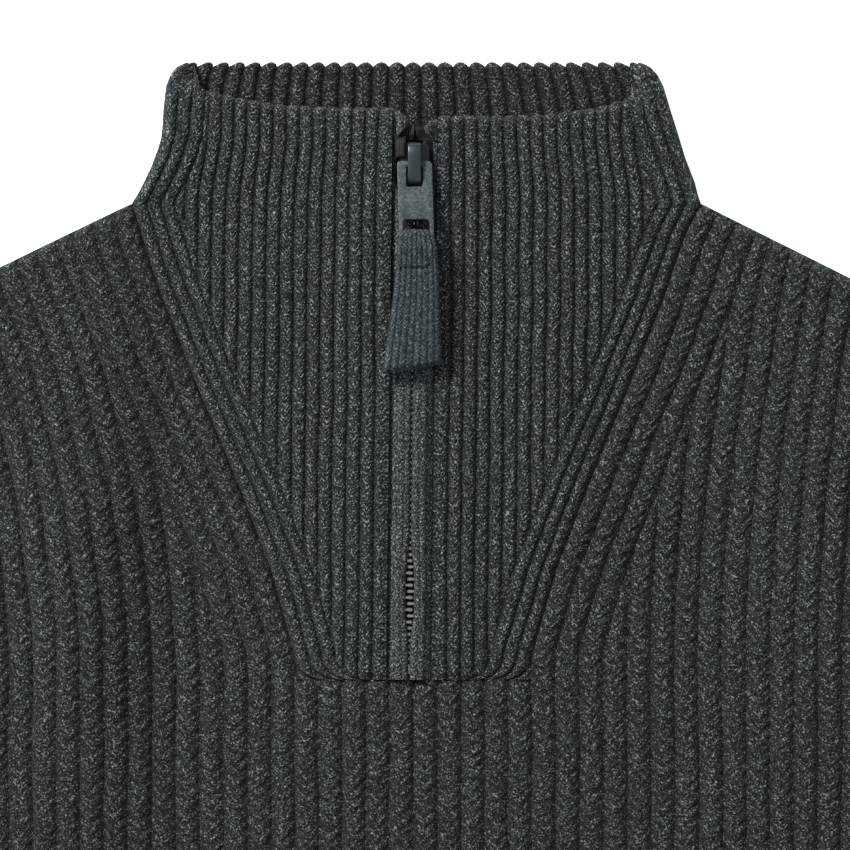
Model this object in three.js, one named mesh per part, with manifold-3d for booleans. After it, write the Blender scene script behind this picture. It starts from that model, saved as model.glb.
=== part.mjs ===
// Quarter zip sweater for a small child, laid flat with its front up. Millimetres, +Z up, +Y towards the
// collar. X is 0 on the middle of the chest and Y is 0 where the shoulders meet the collar. The last lines
// move the whole garment so that its origin is the middle of its underside.
import * as THREE from "three";
import { mergeVertices } from "three/addons/utils/BufferGeometryUtils.js";
import Module from "manifold-3d";

const wasm = await Module();
wasm.setup();

// Wall and layers: the back lies on the floor and the front lies on the back.
const GAP = 0.3; // between pieces at a seam and between layers
const BACK_TOP = 3.0; // the back's wall
const FRONT_UNDER = BACK_TOP + GAP;
const WALL = 2.4; // the front's wall without its ribs
const BODY_RELIEF = 1.2; // how far a body rib stands up
const TRIM_RELIEF = 0.8; // how far a rib of collar, hem or cuff stands up
const EDGE_SOFTEN = 1.3; // how far the front rolls down at a side edge
const BACK_SOFTEN = 0.9; // and the back
const ROLL = 6; // over what width
const HEM_SOFTEN = 0.7; // how far the hem's edge is rounded down
const SEAM_SINK = 0.5; // how far the yoke sinks at its seam
const PLY = 3.4; // how far in a sleeve's inner wall starts from its fold

// Ribs
const RIB = 6.3; // pitch of the body's ribs
const HALF = RIB / 2;
const TRIM_RIB = 3.65; // pitch of the collar's, hem's and cuffs' ribs
const TRIM_HALF = TRIM_RIB / 2;
const BORDER_RIBS = 3; // ribs that run along the yoke's slanted seam, on either side of it

// Body
const CHEST = { left: 165, right: 167 }; // half the body's width
const ACROSS = { left: 111, right: 117 }; // from the middle to the armhole's narrowest
const SHOULDER_END = 126; // from the middle to the shoulder's end
const SHOULDER_DROP = 25;
const UNDERARM_Y = -198;
const ARMHOLE_FOOT_Y = -170; // where the armhole has curved in to its straight
const ARMHOLE_BEND_Y = -97; // where it starts out again towards the shoulder
const UNDERARM_ROWS = [UNDERARM_Y, -193, -187, -179, ARMHOLE_FOOT_Y];
const ARMHOLE_ROWS = [ARMHOLE_BEND_Y, -75, -50, -SHOULDER_DROP]; // these are rows of the yoke's seam too
const HEM_TOP_Y = -350;
const HEM_Y = -400;
const HEM_PULL = 7; // how much narrower each side is at the hem's edge
const BACK_NECK_DROP = 12;

// Yoke and collar
const YOKE_FOOT_Y = -126.4;
const YOKE_CORNER_Y = -119; // where its round lower corner ends
const YOKE_CORNER_RIBS = 4; // ribs from the middle to the corner's start
const YOKE_FOOT_HALF = 5 * RIB;
const CORNER = [
  { y: YOKE_FOOT_Y, half: YOKE_CORNER_RIBS * RIB },
  { y: -125.2, half: 28.7 },
  { y: -122.6, half: 30.9 },
  { y: YOKE_CORNER_Y, half: YOKE_FOOT_HALF },
];
const COLLAR_TOP_Y = 37.4;
// The collar's front edge: its height at the zip, its rise to the fold, and how late it rises
const COLLAR_FRONT = { left: { y: 25.4, rise: 6.1, power: 3.6 }, right: { y: 23.2, rise: 5.4, power: 4.6 } };
const FOLD_INNER = 58; // from the middle to where the fold's top starts
const FOLD_COLUMNS = 4; // half ribs that go up over the fold
const FOLD_SINK = 1.6; // how far the fold turns down at its inner side
const BACK_CLEAR = 0.55; // between the fold's side wall and the collar's back
const LEAN = { left: 30, right: 14.6 }; // how far a body rib has leant out by the shoulder

// The slanted seam, the same on both sides but for its top: y and half the width there.
const SEAM = {
  left: [
    { y: 0, half: 74.3 },
    { y: -8, half: 71.9 },
    { y: -17, half: 69.2 },
    { y: -25, half: 66.4 },
    { y: -50, half: 56.5 },
    { y: -75, half: 46.0 },
    { y: -97, half: 37.6 },
    { y: YOKE_CORNER_Y, half: YOKE_FOOT_HALF },
  ],
  right: [
    { y: 0, half: 76.2 },
    { y: -8, half: 72.2 },
    { y: -17, half: 68.9 },
    { y: -25, half: 66.3 },
    { y: -50, half: 56.3 },
    { y: -75, half: 46.1 },
    { y: -97, half: 37.6 },
    { y: YOKE_CORNER_Y, half: YOKE_FOOT_HALF },
  ],
};
const SEAM_ROWS = SEAM.left.map((row) => row.y).reverse(); // from the foot up
// The collar's side folds: y and half the width there.
const FOLD = {
  left: [
    { y: 37.4, half: 60.2 },
    { y: 36.3, half: 62.6 },
    { y: 34.2, half: 64.4 },
    { y: 31, half: 65.6 },
    { y: 24.6, half: 66.3 },
    { y: 18.3, half: 66.6 },
    { y: 12, half: 68.4 },
    { y: 5.6, half: 71.4 },
    { y: 0, half: 74.3 },
  ],
  right: [
    { y: 37.4, half: 60.4 },
    { y: 36.4, half: 62.9 },
    { y: 34.2, half: 64.9 },
    { y: 31, half: 66.5 },
    { y: 24.6, half: 68.4 },
    { y: 18.3, half: 70.4 },
    { y: 12, half: 72.3 },
    { y: 5.6, half: 74.8 },
    { y: 0, half: 76.2 },
  ],
};

// Sleeves, lying out from the shoulders
const SLEEVE_ANGLE = (40 * Math.PI) / 180; // from straight down
const SLEEVE_LENGTH = 150; // from the underarm's level to the cuff's seam
const UPPER_ARM_HALF = 57.5;
const WRIST_HALF = 44;
const CUFF_LENGTH = 45;
const CUFF_HALF = { seam: 41, edge: 38 };
const SLEEVE_BEND = { outer: { x: 232, y: -85 }, inner: { x: 202, y: -210 } }; // what its edges bend towards
const SLEEVE_RIBS = 17;
const CUFF_RIBS = 21;

// Zip
const ZIP_X = { top: 0.5, foot: -1.06 }; // the zip leans a little
const ZIP_TOP_Y = 16;
const ZIP_FOOT_Y = -122;
const CHAIN_Z = 4.75; // the middle of the closed teeth
const CHAIN_HALF_HEIGHT = 1.25;
const CHAIN_HALF_WIDTH = 2.9;
const TEETH_TOP_Y = 6.5; // the last teeth are inside the slider
const TAPE_WIDTH = 13;
const TAPE = 0.7;
const TAPE_TOP_Y = 20.7;
const TAPE_EDGE = 2.4; // from the zip's middle to the tape's edge, beside the slider
const TAPE_MEET = 0.3; // and above it, where the two tapes' folded ends meet
const MEET_Y = 16.4; // where they start to meet
const RAIL_IN = 0.15; // from the zip's middle to the teeth of one side
const BAND_OUTER = 5.9;
const BAND_WALL = 1.6;
const BAND_OVER_TEETH = 1.9; // how much higher a band lies on the teeth than on the tape
const BAND_ROUND = 0.5; // how far its edges are rounded down
const BAND_DIP = 2.2; // how far its top falls towards the zip
// Half the way between the bands: below the slider, beside it, and at the collar's top
const BAND_GAP = { closed: 0.5, open: 4.8, left: 1.9, right: 2.5 };
const SLIDER_LIFT = 1.0; // how much higher the zip lies at its slider

// Slider, pull tab and loop
const SLIDER_X = 0.4;
const SLIDER = { width: 8.2, taper: 1, foot: 4.4, top: 15.8, plate: 0.8, corner: 2.2 };
const POST = { width: 1.6, length: 4.4, y: 12.4 };
const FLANGE = { width: 0.9, length: 6.4, height: 0.9, y: 10, in: 0.95, sink: 0.35 };
const BAIL = { width: 3.6, foot: 4.6, top: 16.0, rise: 3.85, wire: 1.1, sink: 0.3 };
const BAIL_BEND = { down: 1.8, foot: 2.4, top: 3.4 }; // how far from its corners its bends start
const PIVOT = { y: 10.2, z: 9.55 };
const PULL = { width: 9.3, foot: 22.2, thick: 1.6, nose: 0.7, corner: 1.1, lean: 0.03 };
const PULL_TILT = (6.5 * Math.PI) / 180;
const WINDOW = { width: 4.3, top: 0.75, foot: 6.2, corner: 0.4 };
const LOOP_HOLE = { width: 7.0, top: 14.9, foot: 19.7, corner: 1.1 };
const LOOP = { layer: 1.7, clear: 0.35, foot: 55.2, slant: 2.5, join: 27, crotch: 2.2 };
const LOOP_FALL = (9.8 * Math.PI) / 180;
// The knit loop's width down its length, measured from the pivot.
const LOOP_WIDTH = [
  { s: 15, width: 6.2, shift: 0.5 },
  { s: 20.2, width: 6.3, shift: 0.6 },
  { s: 22.6, width: 10.2, shift: 0.8 },
  { s: 36, width: 12.5, shift: 0.5 },
  { s: 60, width: 16.8, shift: -1.0 },
];

const sides = { left: -1, right: 1 };

function lerp(a, b, t) {
  return a + (b - a) * t;
}

function clamp(v, low, high) {
  return Math.min(high, Math.max(low, v));
}

function smooth(v, from, to) {
  const t = clamp((v - from) / (to - from), 0, 1);
  return t * t * (3 - 2 * t);
}

// The value in one column of a table whose key column runs up or down.
function lookUp(table, key, at, value) {
  const up = table[table.length - 1][key] > table[0][key];
  const rows = up ? table : [...table].reverse();
  if (at <= rows[0][key]) return rows[0][value];
  for (let i = 1; i < rows.length; i++) {
    if (at <= rows[i][key]) {
      const t = (at - rows[i - 1][key]) / (rows[i][key] - rows[i - 1][key]);
      return lerp(rows[i - 1][value], rows[i][value], t);
    }
  }
  return rows[rows.length - 1][value];
}

function material(color, roughness, metalness = 0) {
  return new THREE.MeshStandardMaterial({ color, roughness, metalness });
}

// Half the garment's width on one side, from hem to shoulder: side, underarm curve, armhole and shoulder.
function edgeHalf(y, side) {
  const chest = CHEST[side];
  const across = ACROSS[side];
  if (y <= UNDERARM_Y) return chest;
  if (y <= ARMHOLE_FOOT_Y) {
    const t = (ARMHOLE_FOOT_Y - y) / (ARMHOLE_FOOT_Y - UNDERARM_Y);
    return across + (chest - across) * Math.pow(t, 1.4);
  }
  if (y <= ARMHOLE_BEND_Y) return across;
  if (y <= -SHOULDER_DROP) {
    const t = (y - ARMHOLE_BEND_Y) / (-SHOULDER_DROP - ARMHOLE_BEND_Y);
    return across + (SHOULDER_END - across) * Math.pow(t, 1.6);
  }
  return lerp(SEAM[side][0].half, SHOULDER_END, -y / SHOULDER_DROP);
}

// Half the yoke's width at its seam, with the round corner at its foot.
function seamHalf(y, side) {
  return y >= YOKE_CORNER_Y ? lookUp(SEAM[side], "y", y, "half") : lookUp(CORNER, "y", y, "half");
}

function zipX(y) {
  return lerp(ZIP_X.foot, ZIP_X.top, clamp((y - ZIP_FOOT_Y) / (ZIP_TOP_Y - ZIP_FOOT_Y), 0, 1.3));
}

function sliderLift(y) {
  return SLIDER_LIFT * smooth(y, -18, 6);
}

// The front's underside, raised where it lies on the zip tape.
function frontUnder(fromZip, y) {
  const overTape = (TAPE + GAP + 0.1) * (1 - smooth(fromZip, TAPE_WIDTH, TAPE_WIDTH + 9));
  return FRONT_UNDER + overTape + sliderLift(y) * (1 - smooth(fromZip, 5, TAPE_WIDTH + 1));
}

// A flat piece is a set of triangles in plan, with two heights at each point. Points at one place are one
// point, and a triangle with no area left is dropped, so ribs may run out on an edge.
class Cloth {
  constructor() {
    this.points = [];
    this.known = new Map();
    this.triangles = [];
  }

  point(x, y, under, top) {
    const key = `${Math.round(x * 2000)},${Math.round(y * 2000)}`;
    if (!this.known.has(key)) {
      this.known.set(key, this.points.length);
      this.points.push({ x, y, under, top });
    }
    return this.known.get(key);
  }

  triangle(a, b, c) {
    if (a !== b && b !== c && c !== a) this.triangles.push([a, b, c]);
  }

  // rows of points, from the foot up, each from left to right
  grid(rows) {
    for (let r = 1; r < rows.length; r++) {
      for (let c = 1; c < rows[r].length; c++) {
        const [a, b] = [rows[r - 1][c - 1], rows[r - 1][c]];
        const [d, e] = [rows[r][c - 1], rows[r][c]];
        this.triangle(a, b, e);
        this.triangle(a, e, d);
      }
    }
  }

  // The outline's edges: those that only one triangle has.
  rim() {
    const edges = new Map();
    for (const [a, b, c] of this.triangles) {
      for (const [p, q] of [
        [a, b],
        [b, c],
        [c, a],
      ]) {
        if (edges.has(`${q}_${p}`)) edges.delete(`${q}_${p}`);
        else edges.set(`${p}_${q}`, [p, q]);
      }
    }
    return [...edges.values()];
  }

  // Closed solid: the tops, the rim, and the undersides or, where the underside is one plane, a plain fill.
  solid(plainUnder = null) {
    const flat = [];
    const rim = this.rim();
    const high = (i) => [this.points[i].x, this.points[i].y, this.points[i].top];
    const low = (i) => {
      const z = plainUnder === null ? this.points[i].under : plainUnder;
      return [this.points[i].x, this.points[i].y, z];
    };
    for (const [a, b, c] of this.triangles) flat.push(high(a), high(b), high(c));
    for (const [a, b] of rim) flat.push(high(b), high(a), low(a), high(b), low(a), low(b));
    if (plainUnder === null) {
      for (const [a, b, c] of this.triangles) flat.push(low(c), low(b), low(a));
    } else {
      const next = new Map(rim);
      const loop = [rim[0][0]];
      while (next.get(loop[loop.length - 1]) !== loop[0]) loop.push(next.get(loop[loop.length - 1]));
      const outline = loop.map((i) => new THREE.Vector2(this.points[i].x, this.points[i].y));
      for (const [a, b, c] of THREE.ShapeUtils.triangulateShape(outline, [])) {
        flat.push(low(loop[c]), low(loop[b]), low(loop[a]));
      }
    }
    return geometry(flat);
  }
}

function geometry(flat) {
  const made = new THREE.BufferGeometry();
  made.setAttribute("position", new THREE.Float32BufferAttribute(flat.flat(), 3));
  made.computeVertexNormals();
  return made;
}

// A flattened tube of cloth: rings of outer points and rings of inner points, one of each a row, all of one
// length. Its two ends are open.
function tube(outer, inner) {
  const flat = [];
  const quad = (a, b, c, d) => {
    for (const [p, q, r] of [
      [a, b, c],
      [a, c, d],
    ]) {
      const [first, second, third] = [p, q, r].map((point) => new THREE.Vector3(...point));
      if (new THREE.Triangle(first, second, third).getArea() > 1e-7) flat.push(p, q, r);
    }
  };
  const n = outer[0].length;
  for (let i = 0; i < n; i++) {
    const j = (i + 1) % n;
    for (let r = 1; r < outer.length; r++) {
      quad(outer[r - 1][i], outer[r - 1][j], outer[r][j], outer[r][i]);
      quad(inner[r - 1][j], inner[r - 1][i], inner[r][i], inner[r][j]);
    }
    const last = outer.length - 1;
    quad(outer[0][j], outer[0][i], inner[0][i], inner[0][j]);
    quad(outer[last][i], outer[last][j], inner[last][j], inner[last][i]);
  }
  return geometry(flat);
}

// manifold-3d solids, for the metal pieces
function toSolid(geo) {
  const bare = geo.index ? geo.toNonIndexed() : geo.clone();
  for (const name of Object.keys(bare.attributes)) if (name !== "position") bare.deleteAttribute(name);
  const merged = mergeVertices(bare, 1e-4);
  return new wasm.Manifold(
    new wasm.Mesh({
      numProp: 3,
      vertProperties: merged.attributes.position.array,
      triVerts: new Uint32Array(merged.index.array),
    })
  );
}

function fromSolid(solid) {
  const mesh = solid.getMesh();
  const made = new THREE.BufferGeometry();
  made.setAttribute("position", new THREE.BufferAttribute(new Float32Array(mesh.vertProperties), 3));
  made.setIndex(new THREE.BufferAttribute(new Uint32Array(mesh.triVerts), 1));
  made.computeVertexNormals();
  return made;
}

// Body front

// Where a body column stands: number counts half ribs from the middle. The columns beside the yoke's seam run
// along it. Those outside them lean out towards the shoulder and run out where they meet the border, and all
// run out at the armhole.
function bodyColumn(number, y, side) {
  const first = YOKE_FOOT_HALF / HALF;
  const borderEnd = first + 2 * BORDER_RIBS;
  const slant = y > YOKE_CORNER_Y ? seamHalf(y, side) : YOKE_FOOT_HALF;
  const edge = edgeHalf(y, side);
  const inner = y > YOKE_FOOT_Y ? seamHalf(y, side) + GAP : 0;
  let half = number * HALF;
  let free = BODY_RELIEF;
  if (number > borderEnd) {
    const border = slant + BORDER_RIBS * RIB;
    const up = clamp((y - YOKE_FOOT_Y) / -YOKE_FOOT_Y, 0, 1);
    half += LEAN[side] * up * up;
    free = clamp(half - border, 0, free);
    half = Math.max(half, border);
  } else if (number >= first) {
    half = slant + (number - first) * HALF;
  }
  if (half <= inner) free = 0;
  free = clamp(edge - half, 0, free);
  return { half: clamp(half, inner, edge), relief: number % 2 ? free : 0 };
}

function bodyTop(half, relief, y, side) {
  const fromSide = edgeHalf(y, side) - half;
  const rolls = y <= UNDERARM_Y || y >= -SHOULDER_DROP;
  const roll = rolls ? EDGE_SOFTEN * (1 - smooth(fromSide, 0, ROLL)) : 0;
  return FRONT_UNDER + WALL + relief - roll;
}

function bodyFront() {
  const cloth = new Cloth();
  const counts = { left: Math.ceil(CHEST.left / HALF), right: Math.ceil(CHEST.right / HALF) };
  const place = (number, y, side, free) => {
    const at = bodyColumn(number, y, side);
    const half = free ? Math.min(number * HALF, edgeHalf(y, side)) : at.half;
    const relief = free && number < YOKE_FOOT_HALF / HALF && number % 2 ? BODY_RELIEF : at.relief;
    return cloth.point(sides[side] * half, y, 0, bodyTop(half, relief, y, side));
  };
  const lowRows = [HEM_TOP_Y, ...UNDERARM_ROWS, YOKE_FOOT_Y];
  const low = lowRows.map((y) => {
    const row = [];
    for (let n = counts.left; n >= 1; n--) row.push(place(n, y, "left", true));
    for (let n = 0; n <= counts.right; n++) row.push(place(n, y, "right", true));
    return row;
  });
  cloth.grid(low);
  const highRows = [...CORNER.slice(0, -1).map((row) => row.y), ...SEAM_ROWS];
  for (const side of ["left", "right"]) {
    const last = 2 * YOKE_CORNER_RIBS;
    const rows = highRows.map((y) => {
      const row = [];
      for (let n = counts[side]; n >= last; n--) row.push(place(n, y, side, y === YOKE_FOOT_Y));
      return side === "left" ? row : row.reverse();
    });
    cloth.grid(rows);
  }
  return cloth.solid(FRONT_UNDER);
}

// Body back, a plain wall with its outside flat on the floor

function backNeck(x) {
  const half = SEAM.left[0].half;
  return -BACK_NECK_DROP * (1 - Math.pow(clamp(Math.abs(x) / half, 0, 1), 3));
}

function bodyBack() {
  const cloth = new Cloth();
  const across = 14;
  const rows = [HEM_TOP_Y, ...UNDERARM_ROWS, ...ARMHOLE_ROWS];
  const shares = [...Array(2 * across + 1).keys()].map((i) => i / across - 1);
  const height = (x, y) => {
    const side = x < 0 ? "left" : "right";
    const rolls = y <= UNDERARM_Y || y >= -SHOULDER_DROP;
    return BACK_TOP - (rolls ? BACK_SOFTEN * (1 - smooth(edgeHalf(y, side) - Math.abs(x), 0, ROLL)) : 0);
  };
  const grid = rows.map((y) =>
    shares.map((share) => {
      const x = share * edgeHalf(y, share < 0 ? "left" : "right");
      return cloth.point(x, y, 0, height(x, y));
    })
  );
  // the shoulders and the neck's curve
  for (const up of [0.5, 1]) {
    grid.push(
      shares.map((share) => {
        const side = share < 0 ? "left" : "right";
        const x = share * lerp(SHOULDER_END, SEAM[side][0].half, up);
        const atEnd = Math.abs(share) === 1;
        const y = lerp(-SHOULDER_DROP, atEnd ? 0 : backNeck(x), up);
        return cloth.point(x, y, 0, atEnd ? BACK_TOP - BACK_SOFTEN : BACK_TOP);
      })
    );
  }
  cloth.grid(grid);
  return cloth.solid(0);
}

// Hem

function hemHalf(y, side) {
  return CHEST[side] - HEM_PULL * smooth(y, HEM_TOP_Y + 12, HEM_Y);
}

function hem(front) {
  const cloth = new Cloth();
  const counts = Math.floor(CHEST.left / TRIM_HALF);
  const ys = [HEM_Y, HEM_Y + 1.5, HEM_TOP_Y - 16, HEM_TOP_Y - GAP];
  const step = front ? 1 : 10;
  const under = front ? FRONT_UNDER : 0;
  const rows = ys.map((y) => {
    const row = [];
    for (let n = -counts; n <= counts; n += step) {
      const side = n < 0 ? "left" : "right";
      const half = (Math.abs(n) / counts) * hemHalf(y, side);
      const fromSide = hemHalf(y, side) - half;
      const roll = (front ? EDGE_SOFTEN : BACK_SOFTEN) * (1 - smooth(fromSide, 0, ROLL));
      const edge = y === HEM_Y ? HEM_SOFTEN : 0;
      const ribbed = front && n % 2 && Math.abs(n) < counts ? TRIM_RELIEF : 0;
      const top = (front ? FRONT_UNDER + WALL : BACK_TOP) + ribbed - roll - edge;
      row.push(cloth.point(sides[side] * half, y, under, top));
    }
    return row;
  });
  cloth.grid(rows);
  return cloth.solid(under);
}

// Sleeves and cuffs: flattened tubes, ribbed above and flat below

const along = { x: Math.sin(SLEEVE_ANGLE), y: -Math.cos(SLEEVE_ANGLE) }; // down the right sleeve
const outward = { x: Math.cos(SLEEVE_ANGLE), y: Math.sin(SLEEVE_ANGLE) };

// A point of the armhole's seam on the sleeve's side, down from the shoulder
function armholePoint(share, side) {
  const ys = [...UNDERARM_ROWS, ...ARMHOLE_ROWS].reverse();
  const line = ys.map((y) => new THREE.Vector2(edgeHalf(y, side), y));
  const lengths = [0];
  for (let i = 1; i < line.length; i++) lengths.push(lengths[i - 1] + line[i].distanceTo(line[i - 1]));
  const target = share * lengths[lengths.length - 1];
  const i = clamp(lengths.findIndex((l) => l >= target - 1e-6), 1, line.length - 1);
  const way = line[i].clone().sub(line[i - 1]).normalize();
  const t = clamp((target - lengths[i - 1]) / (lengths[i] - lengths[i - 1]), 0, 1);
  return line[i - 1].clone().lerp(line[i], t).add(new THREE.Vector2(-way.y, way.x).multiplyScalar(GAP));
}

// A point of the sleeve: share runs from the outer edge to the inner one, down from the armhole to the cuff.
function sleevePoint(share, down, side) {
  const start = armholePoint(share, side);
  const under = armholePoint(1, side);
  const wrist = {
    x: under.x + outward.x * UPPER_ARM_HALF + along.x * SLEEVE_LENGTH,
    y: under.y + outward.y * UPPER_ARM_HALF + along.y * SLEEVE_LENGTH,
  };
  const reach = lerp(WRIST_HALF, -WRIST_HALF, share);
  const end = { x: wrist.x + outward.x * reach, y: wrist.y + outward.y * reach };
  const bend = {
    x: lerp(SLEEVE_BEND.outer.x, SLEEVE_BEND.inner.x, share),
    y: lerp(SLEEVE_BEND.outer.y, SLEEVE_BEND.inner.y, share),
  };
  const [a, b, c] = [(1 - down) * (1 - down), 2 * down * (1 - down), down * down];
  return { x: a * start.x + b * bend.x + c * end.x, y: a * start.y + b * bend.y + c * end.y };
}

function cuffPoint(share, down, side) {
  const under = armholePoint(1, side);
  const from = SLEEVE_LENGTH + GAP + down * CUFF_LENGTH;
  const reach = UPPER_ARM_HALF + (1 - 2 * share) * lerp(CUFF_HALF.seam, CUFF_HALF.edge, smooth(down, 0, 0.6));
  return { x: under.x + outward.x * reach + along.x * from, y: under.y + outward.y * reach + along.y * from };
}

function flattenedTube(pointAt, downs, ribs, relief, side) {
  const width = (down) => {
    const [p, q] = [pointAt(0, down, side), pointAt(1, down, side)];
    return Math.hypot(p.x - q.x, p.y - q.y);
  };
  const top = FRONT_UNDER + WALL;
  const tops = [...Array(2 * ribs + 1).keys()].map((i) => i / (2 * ribs));
  const unders = [0.7, 0.5, 0.3];
  const foot = 0.35; // how much of the inner wall's inset the flat underside starts at
  const outer = [];
  const inner = [];
  for (const down of downs) {
    const inset = PLY / width(down);
    const ringOut = [];
    const ringIn = [];
    const put = (ring, share, z) => {
      const p = pointAt(share, down, side);
      ring.push([sides[side] * p.x, p.y, z]);
    };
    tops.forEach((share, i) => {
      const edge = i === 0 || i === 2 * ribs;
      put(ringOut, share, edge ? FRONT_UNDER - 0.4 : top + (i % 2 ? relief : 0));
      put(ringIn, clamp(share, inset, 1 - inset), FRONT_UNDER);
    });
    for (const share of [1 - foot * inset, ...unders, foot * inset]) {
      put(ringOut, share, 0);
      put(ringIn, clamp(share, inset, 1 - inset), BACK_TOP);
    }
    outer.push(side === "left" ? ringOut.reverse() : ringOut);
    inner.push(side === "left" ? ringIn.reverse() : ringIn);
  }
  return tube(outer, inner);
}

// Collar and yoke beside the zip

// The outer half ribs draw together up the fold, which is narrow at its top.
function foldSpacing(edge) {
  return Math.min(TRIM_HALF, (edge - FOLD_INNER) / FOLD_COLUMNS);
}

// Where a rib column stands: three ribs run along the outer edge, and the rest stand beside the zip and run
// out on them. number counts half ribs in from the outer edge.
function collarColumn(number, y, side, count) {
  const seam = seamHalf(y < YOKE_CORNER_Y ? y - GAP : y, side);
  const edge = y >= 0 ? lookUp(FOLD[side], "y", y, "half") : seam;
  const inner = sides[side] * zipX(y) + BAND_OUTER + GAP;
  const border = 2 * BORDER_RIBS;
  if (number <= border) {
    const spacing = y > 0 ? foldSpacing(edge) : TRIM_HALF;
    const half = Math.max(edge - number * spacing, inner);
    return { half, relief: number % 2 ? TRIM_RELIEF : 0 };
  }
  const limit = edge - border * TRIM_HALF;
  const flare = y > 0 ? 1 - 0.05 * smooth(y, 0, 20) : 1;
  const natural = inner + (count - number) * TRIM_HALF * flare;
  const relief = number % 2 ? clamp(limit - natural, 0, TRIM_RELIEF) : 0;
  return { half: clamp(natural, inner, Math.max(limit, inner)), relief };
}

// The columns of the fold go up to the collar's top, and the others to its front edge.
function collarTop(number, half, side) {
  const { y, rise, power } = COLLAR_FRONT[side];
  return number <= FOLD_COLUMNS ? COLLAR_TOP_Y : y + rise * Math.pow(clamp(half / FOLD_INNER, 0, 1), power);
}

function collarYoke(side) {
  const cloth = new Cloth();
  const reach = SEAM[side][0].half - (sides[side] * zipX(0) + BAND_OUTER + GAP);
  const count = 2 * Math.round(reach / TRIM_RIB);
  const folded = 2; // half ribs whose underside is the fold's wall down to the floor
  const place = (number, y) => {
    const { half, relief } = collarColumn(number, y, side, count);
    const x = sides[side] * half;
    const fromZip = Math.abs(x - zipX(y));
    const under = y > 0 && number < folded ? 0 : frontUnder(fromZip, y);
    const inTurn = number === FOLD_COLUMNS && y > COLLAR_FRONT[side].y + COLLAR_FRONT[side].rise;
    let top = frontUnder(fromZip, y) + WALL + relief;
    if (inTurn) top -= FOLD_SINK;
    if (number === 0) top = y > 0 ? FRONT_UNDER + 0.2 : top - SEAM_SINK;
    return cloth.point(x, y, under, top);
  };
  const ys = [YOKE_FOOT_Y + GAP, CORNER[1].y, CORNER[2].y, ...SEAM_ROWS.slice(0, -1), -0.01];
  const rows = ys.map((y) => [...Array(count + 1).keys()].map((number) => place(number, y)));
  const frontY = COLLAR_FRONT[side].y + COLLAR_FRONT[side].rise;
  for (const up of [0.2, 0.45, 0.7, 0.83, 0.92, 0.97, 1]) {
    rows.push(
      [...Array(count + 1).keys()].map((number) => {
        const { half } = collarColumn(number, frontY, side, count);
        return place(number, up * collarTop(number, half, side));
      })
    );
  }
  cloth.grid(side === "left" ? rows : rows.map((row) => row.reverse()));
  return cloth.solid();
}

function collarBack() {
  const cloth = new Cloth();
  const ribs = 14;
  const half = (y, side) => {
    const edge = lookUp(FOLD[side], "y", y, "half");
    return edge - 2 * foldSpacing(edge) - BACK_CLEAR;
  };
  const rows = [0, 0.35, 0.7, 0.93, 1].map((up) => {
    const row = [];
    for (let n = -2 * ribs; n <= 2 * ribs; n++) {
      const side = n < 0 ? "left" : "right";
      const share = Math.abs(n) / (2 * ribs);
      const foot = backNeck(share * SEAM[side][0].half) + GAP;
      const y = lerp(foot, COLLAR_TOP_Y, up);
      const x = sides[side] * share * half(Math.max(y, 0.5), side);
      const top = BACK_TOP - (n % 2 ? 0 : TRIM_RELIEF) - (up === 1 ? SEAM_SINK : 0);
      row.push(cloth.point(x, y, 0, top));
    }
    return row;
  });
  cloth.grid(rows);
  return cloth.solid(0);
}

// Zip: bands, tapes with their teeth as plain rails, bottom stop

function bandGap(y, side) {
  const below = lerp(BAND_GAP.closed, BAND_GAP.open, smooth(y, -6, 6));
  return lerp(below, BAND_GAP[side], smooth(y, SLIDER.top, COLLAR_FRONT[side].y - 2));
}

function band(side) {
  const cloth = new Cloth();
  const top = COLLAR_FRONT[side].y - 1;
  const ys = [YOKE_FOOT_Y + GAP, -90, -50, -20, -8, -4, -2, 0, 1.5, 4, 10, 16, 17, 18.5, 20, top - 1, top];
  const rows = ys.map((y) => {
    const gap = bandGap(y, side);
    const lip = 1 - 0.8 * smooth(y, 1.5, 4) * (1 - smooth(y, SLIDER.top, MEET_Y + 1));
    return [0, 0.12, 0.5, 0.88, 1].map((share) => {
      const fromZip = lerp(gap, BAND_OUTER, share);
      const overTeeth = share < 0.2 ? lip : 1 - smooth(fromZip, 3.2, 5.7);
      const under = frontUnder(fromZip, y) + BAND_OVER_TEETH * overTeeth;
      const round = share === 0 || share === 1 || y === top ? BAND_ROUND : 0;
      const dip = BAND_DIP * (1 - share) * (1 - share) * smooth(y, MEET_Y, top);
      return cloth.point(zipX(y) + sides[side] * fromZip, y - dip, under, under + BAND_WALL - round);
    });
  });
  cloth.grid(side === "right" ? rows : rows.map((row) => row.reverse()));
  return cloth.solid();
}

// A section of offsets from the zip and heights from the chain's middle, carried up the zip.
function carry(section, ys, side) {
  const outer = ys.map((y) => section(y).map((p) => [zipX(y) + sides[side] * p.out, y, p.z]));
  const flat = [];
  const quad = (a, b, c, d) => flat.push(a, b, c, a, c, d);
  const n = outer[0].length;
  const turn = side === "left";
  for (let r = 1; r < outer.length; r++) {
    for (let i = 0; i < n; i++) {
      const j = (i + 1) % n;
      const corners = [outer[r - 1][i], outer[r - 1][j], outer[r][j], outer[r][i]];
      quad(...(turn ? corners.reverse() : corners));
    }
  }
  for (const [r, end] of [
    [0, -1],
    [outer.length - 1, 1],
  ]) {
    const outline = section(ys[r]).map((p) => new THREE.Vector2(p.out, p.z));
    for (const [a, b, c] of THREE.ShapeUtils.triangulateShape(outline, [])) {
      const face = [outer[r][a], outer[r][b], outer[r][c]];
      const flip = (end > 0) !== turn;
      flat.push(...(flip ? face.reverse() : face));
    }
  }
  return geometry(flat);
}

function chainZ(y) {
  return CHAIN_Z + sliderLift(y);
}

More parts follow.
